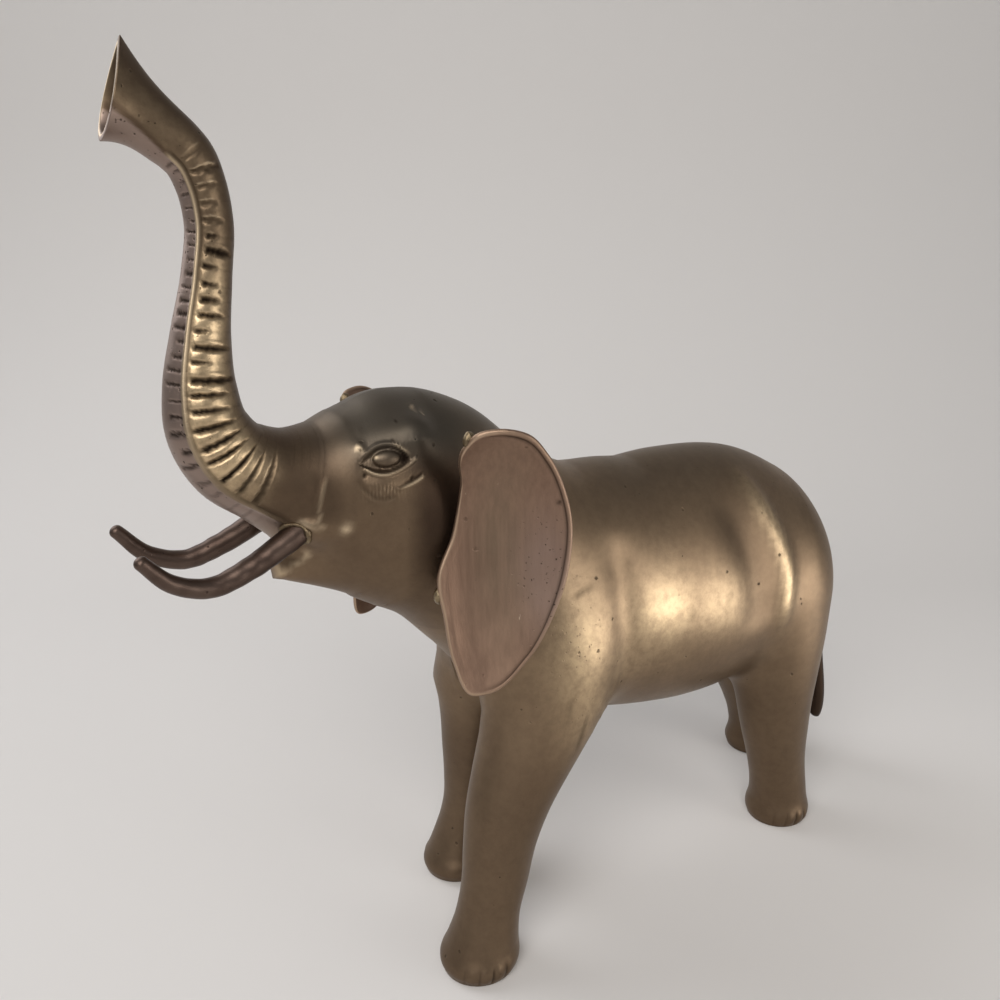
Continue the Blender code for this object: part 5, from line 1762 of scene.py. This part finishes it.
# %% Stage
FLOOR_COLOUR = (0.74, 0.72, 0.70)
LIGHT_SPREAD = math.radians(120.0)
CAMERA_PLACE = (306.3, -268.6, 299.2)
CAMERA_TURN = 32.2
CAMERA_PITCH = 16.5
CAMERA_ROLL = -1.0
CAMERA_LENS = 33.12
SENSOR = 36.0
# name, place, target, size, power, colour
LIGHTS = (
    ("key_light", (0.9, -0.9, 1.15), (0.0, 0.0, 0.15), 1.3, 7.4, (1.0, 0.97, 0.94)),
    ("fill_light", (-0.9, -0.5, 0.9), (0.0, 0.0, 0.15), 1.2, 3.8, (0.96, 0.97, 1.0)),
    ("side_light", (1.0, 0.55, 0.22), (0.0, 0.05, 0.14), 0.60, 1.1, (1.0, 0.97, 0.93)),
    ("low_light", (0.28, 0.27, 0.04), (0.04, 0.0, 0.14), 0.22, 0.17, (1.0, 0.97, 0.93)),
)
ROOM_COLOUR = (0.82, 0.82, 0.83)
ROOM_STRENGTH = 0.36


def sweep():
    """A floor that bends up into a wall behind the statue, seen from the camera."""
    turn = math.radians(CAMERA_TURN)
    away = np.array((-math.cos(turn), math.sin(turn)))
    across = np.array((math.sin(turn), math.cos(turn)))
    bend = 0.45
    profile = [(-2.2, 0.0), (0.35, 0.0)]
    for step in range(1, 17):
        angle = 0.5 * math.pi * step / 16
        profile.append((0.35 + bend * math.sin(angle), bend * (1.0 - math.cos(angle))))
    profile.append((0.35 + bend, 2.4))
    rows = []
    for reach, z in profile:
        for share in (-2.4, 2.4):
            x, y = away * reach + across * share
            rows.append((x, y, z))
    faces = [(2 * i, 2 * i + 1, 2 * i + 3, 2 * i + 2) for i in range(len(profile) - 1)]
    mesh = bpy.data.meshes.new("floor_sweep")
    mesh.from_pydata(rows, [], faces)
    mesh.shade_smooth()
    floor = bpy.data.objects.new("floor_sweep", mesh)
    bpy.context.scene.collection.objects.link(floor)
    material, tree, shader = new_metal("pale_floor", 0.0)
    shader.inputs["Base Color"].default_value = (*FLOOR_COLOUR, 1.0)
    shader.inputs["Roughness"].default_value = 0.9
    mesh.materials.append(material)


def area_light(name, place, target, size, power, colour):
    lamp = bpy.data.lights.new(name, "AREA")
    lamp.shape = "DISK"
    lamp.size = size
    lamp.energy = power
    lamp.spread = LIGHT_SPREAD
    lamp.color = colour
    stand = bpy.data.objects.new(name, lamp)
    bpy.context.scene.collection.objects.link(stand)
    stand.location = place
    stand.rotation_euler = (Vector(target) - Vector(place)).to_track_quat("-Z", "Y").to_euler()


def set_camera():
    turn = math.radians(CAMERA_TURN)
    pitch = math.radians(CAMERA_PITCH)
    roll = math.radians(CAMERA_ROLL)
    level = math.cos(pitch)
    forward = Vector((-math.cos(turn) * level, math.sin(turn) * level, -math.sin(pitch)))
    right = Vector((math.sin(turn), math.cos(turn), 0.0))
    up = right.cross(forward)
    tilted_right = right * math.cos(roll) + up * math.sin(roll)
    tilted_up = up * math.cos(roll) - right * math.sin(roll)
    data = bpy.data.cameras.new("camera")
    data.lens = CAMERA_LENS
    data.sensor_width = SENSOR
    data.clip_start = 0.01
    camera = bpy.data.objects.new("camera", data)
    bpy.context.scene.collection.objects.link(camera)
    axes = Matrix((tilted_right, tilted_up, -forward)).transposed()
    camera.matrix_world = Matrix.Translation(Vector(placed(CAMERA_PLACE))) @ axes.to_4x4()
    bpy.context.scene.camera = camera
    return camera


sweep()
for light in LIGHTS:
    area_light(*light)
world = bpy.data.worlds.new("soft_room")
world.use_nodes = True
room = world.node_tree.nodes["Background"]
room.inputs["Color"].default_value = (*ROOM_COLOUR, 1.0)
room.inputs["Strength"].default_value = ROOM_STRENGTH
bpy.context.scene.world = world
camera = set_camera()
bpy.context.scene.view_settings.view_transform = "Standard"
print("camera at", [round(value, 3) for value in camera.location])
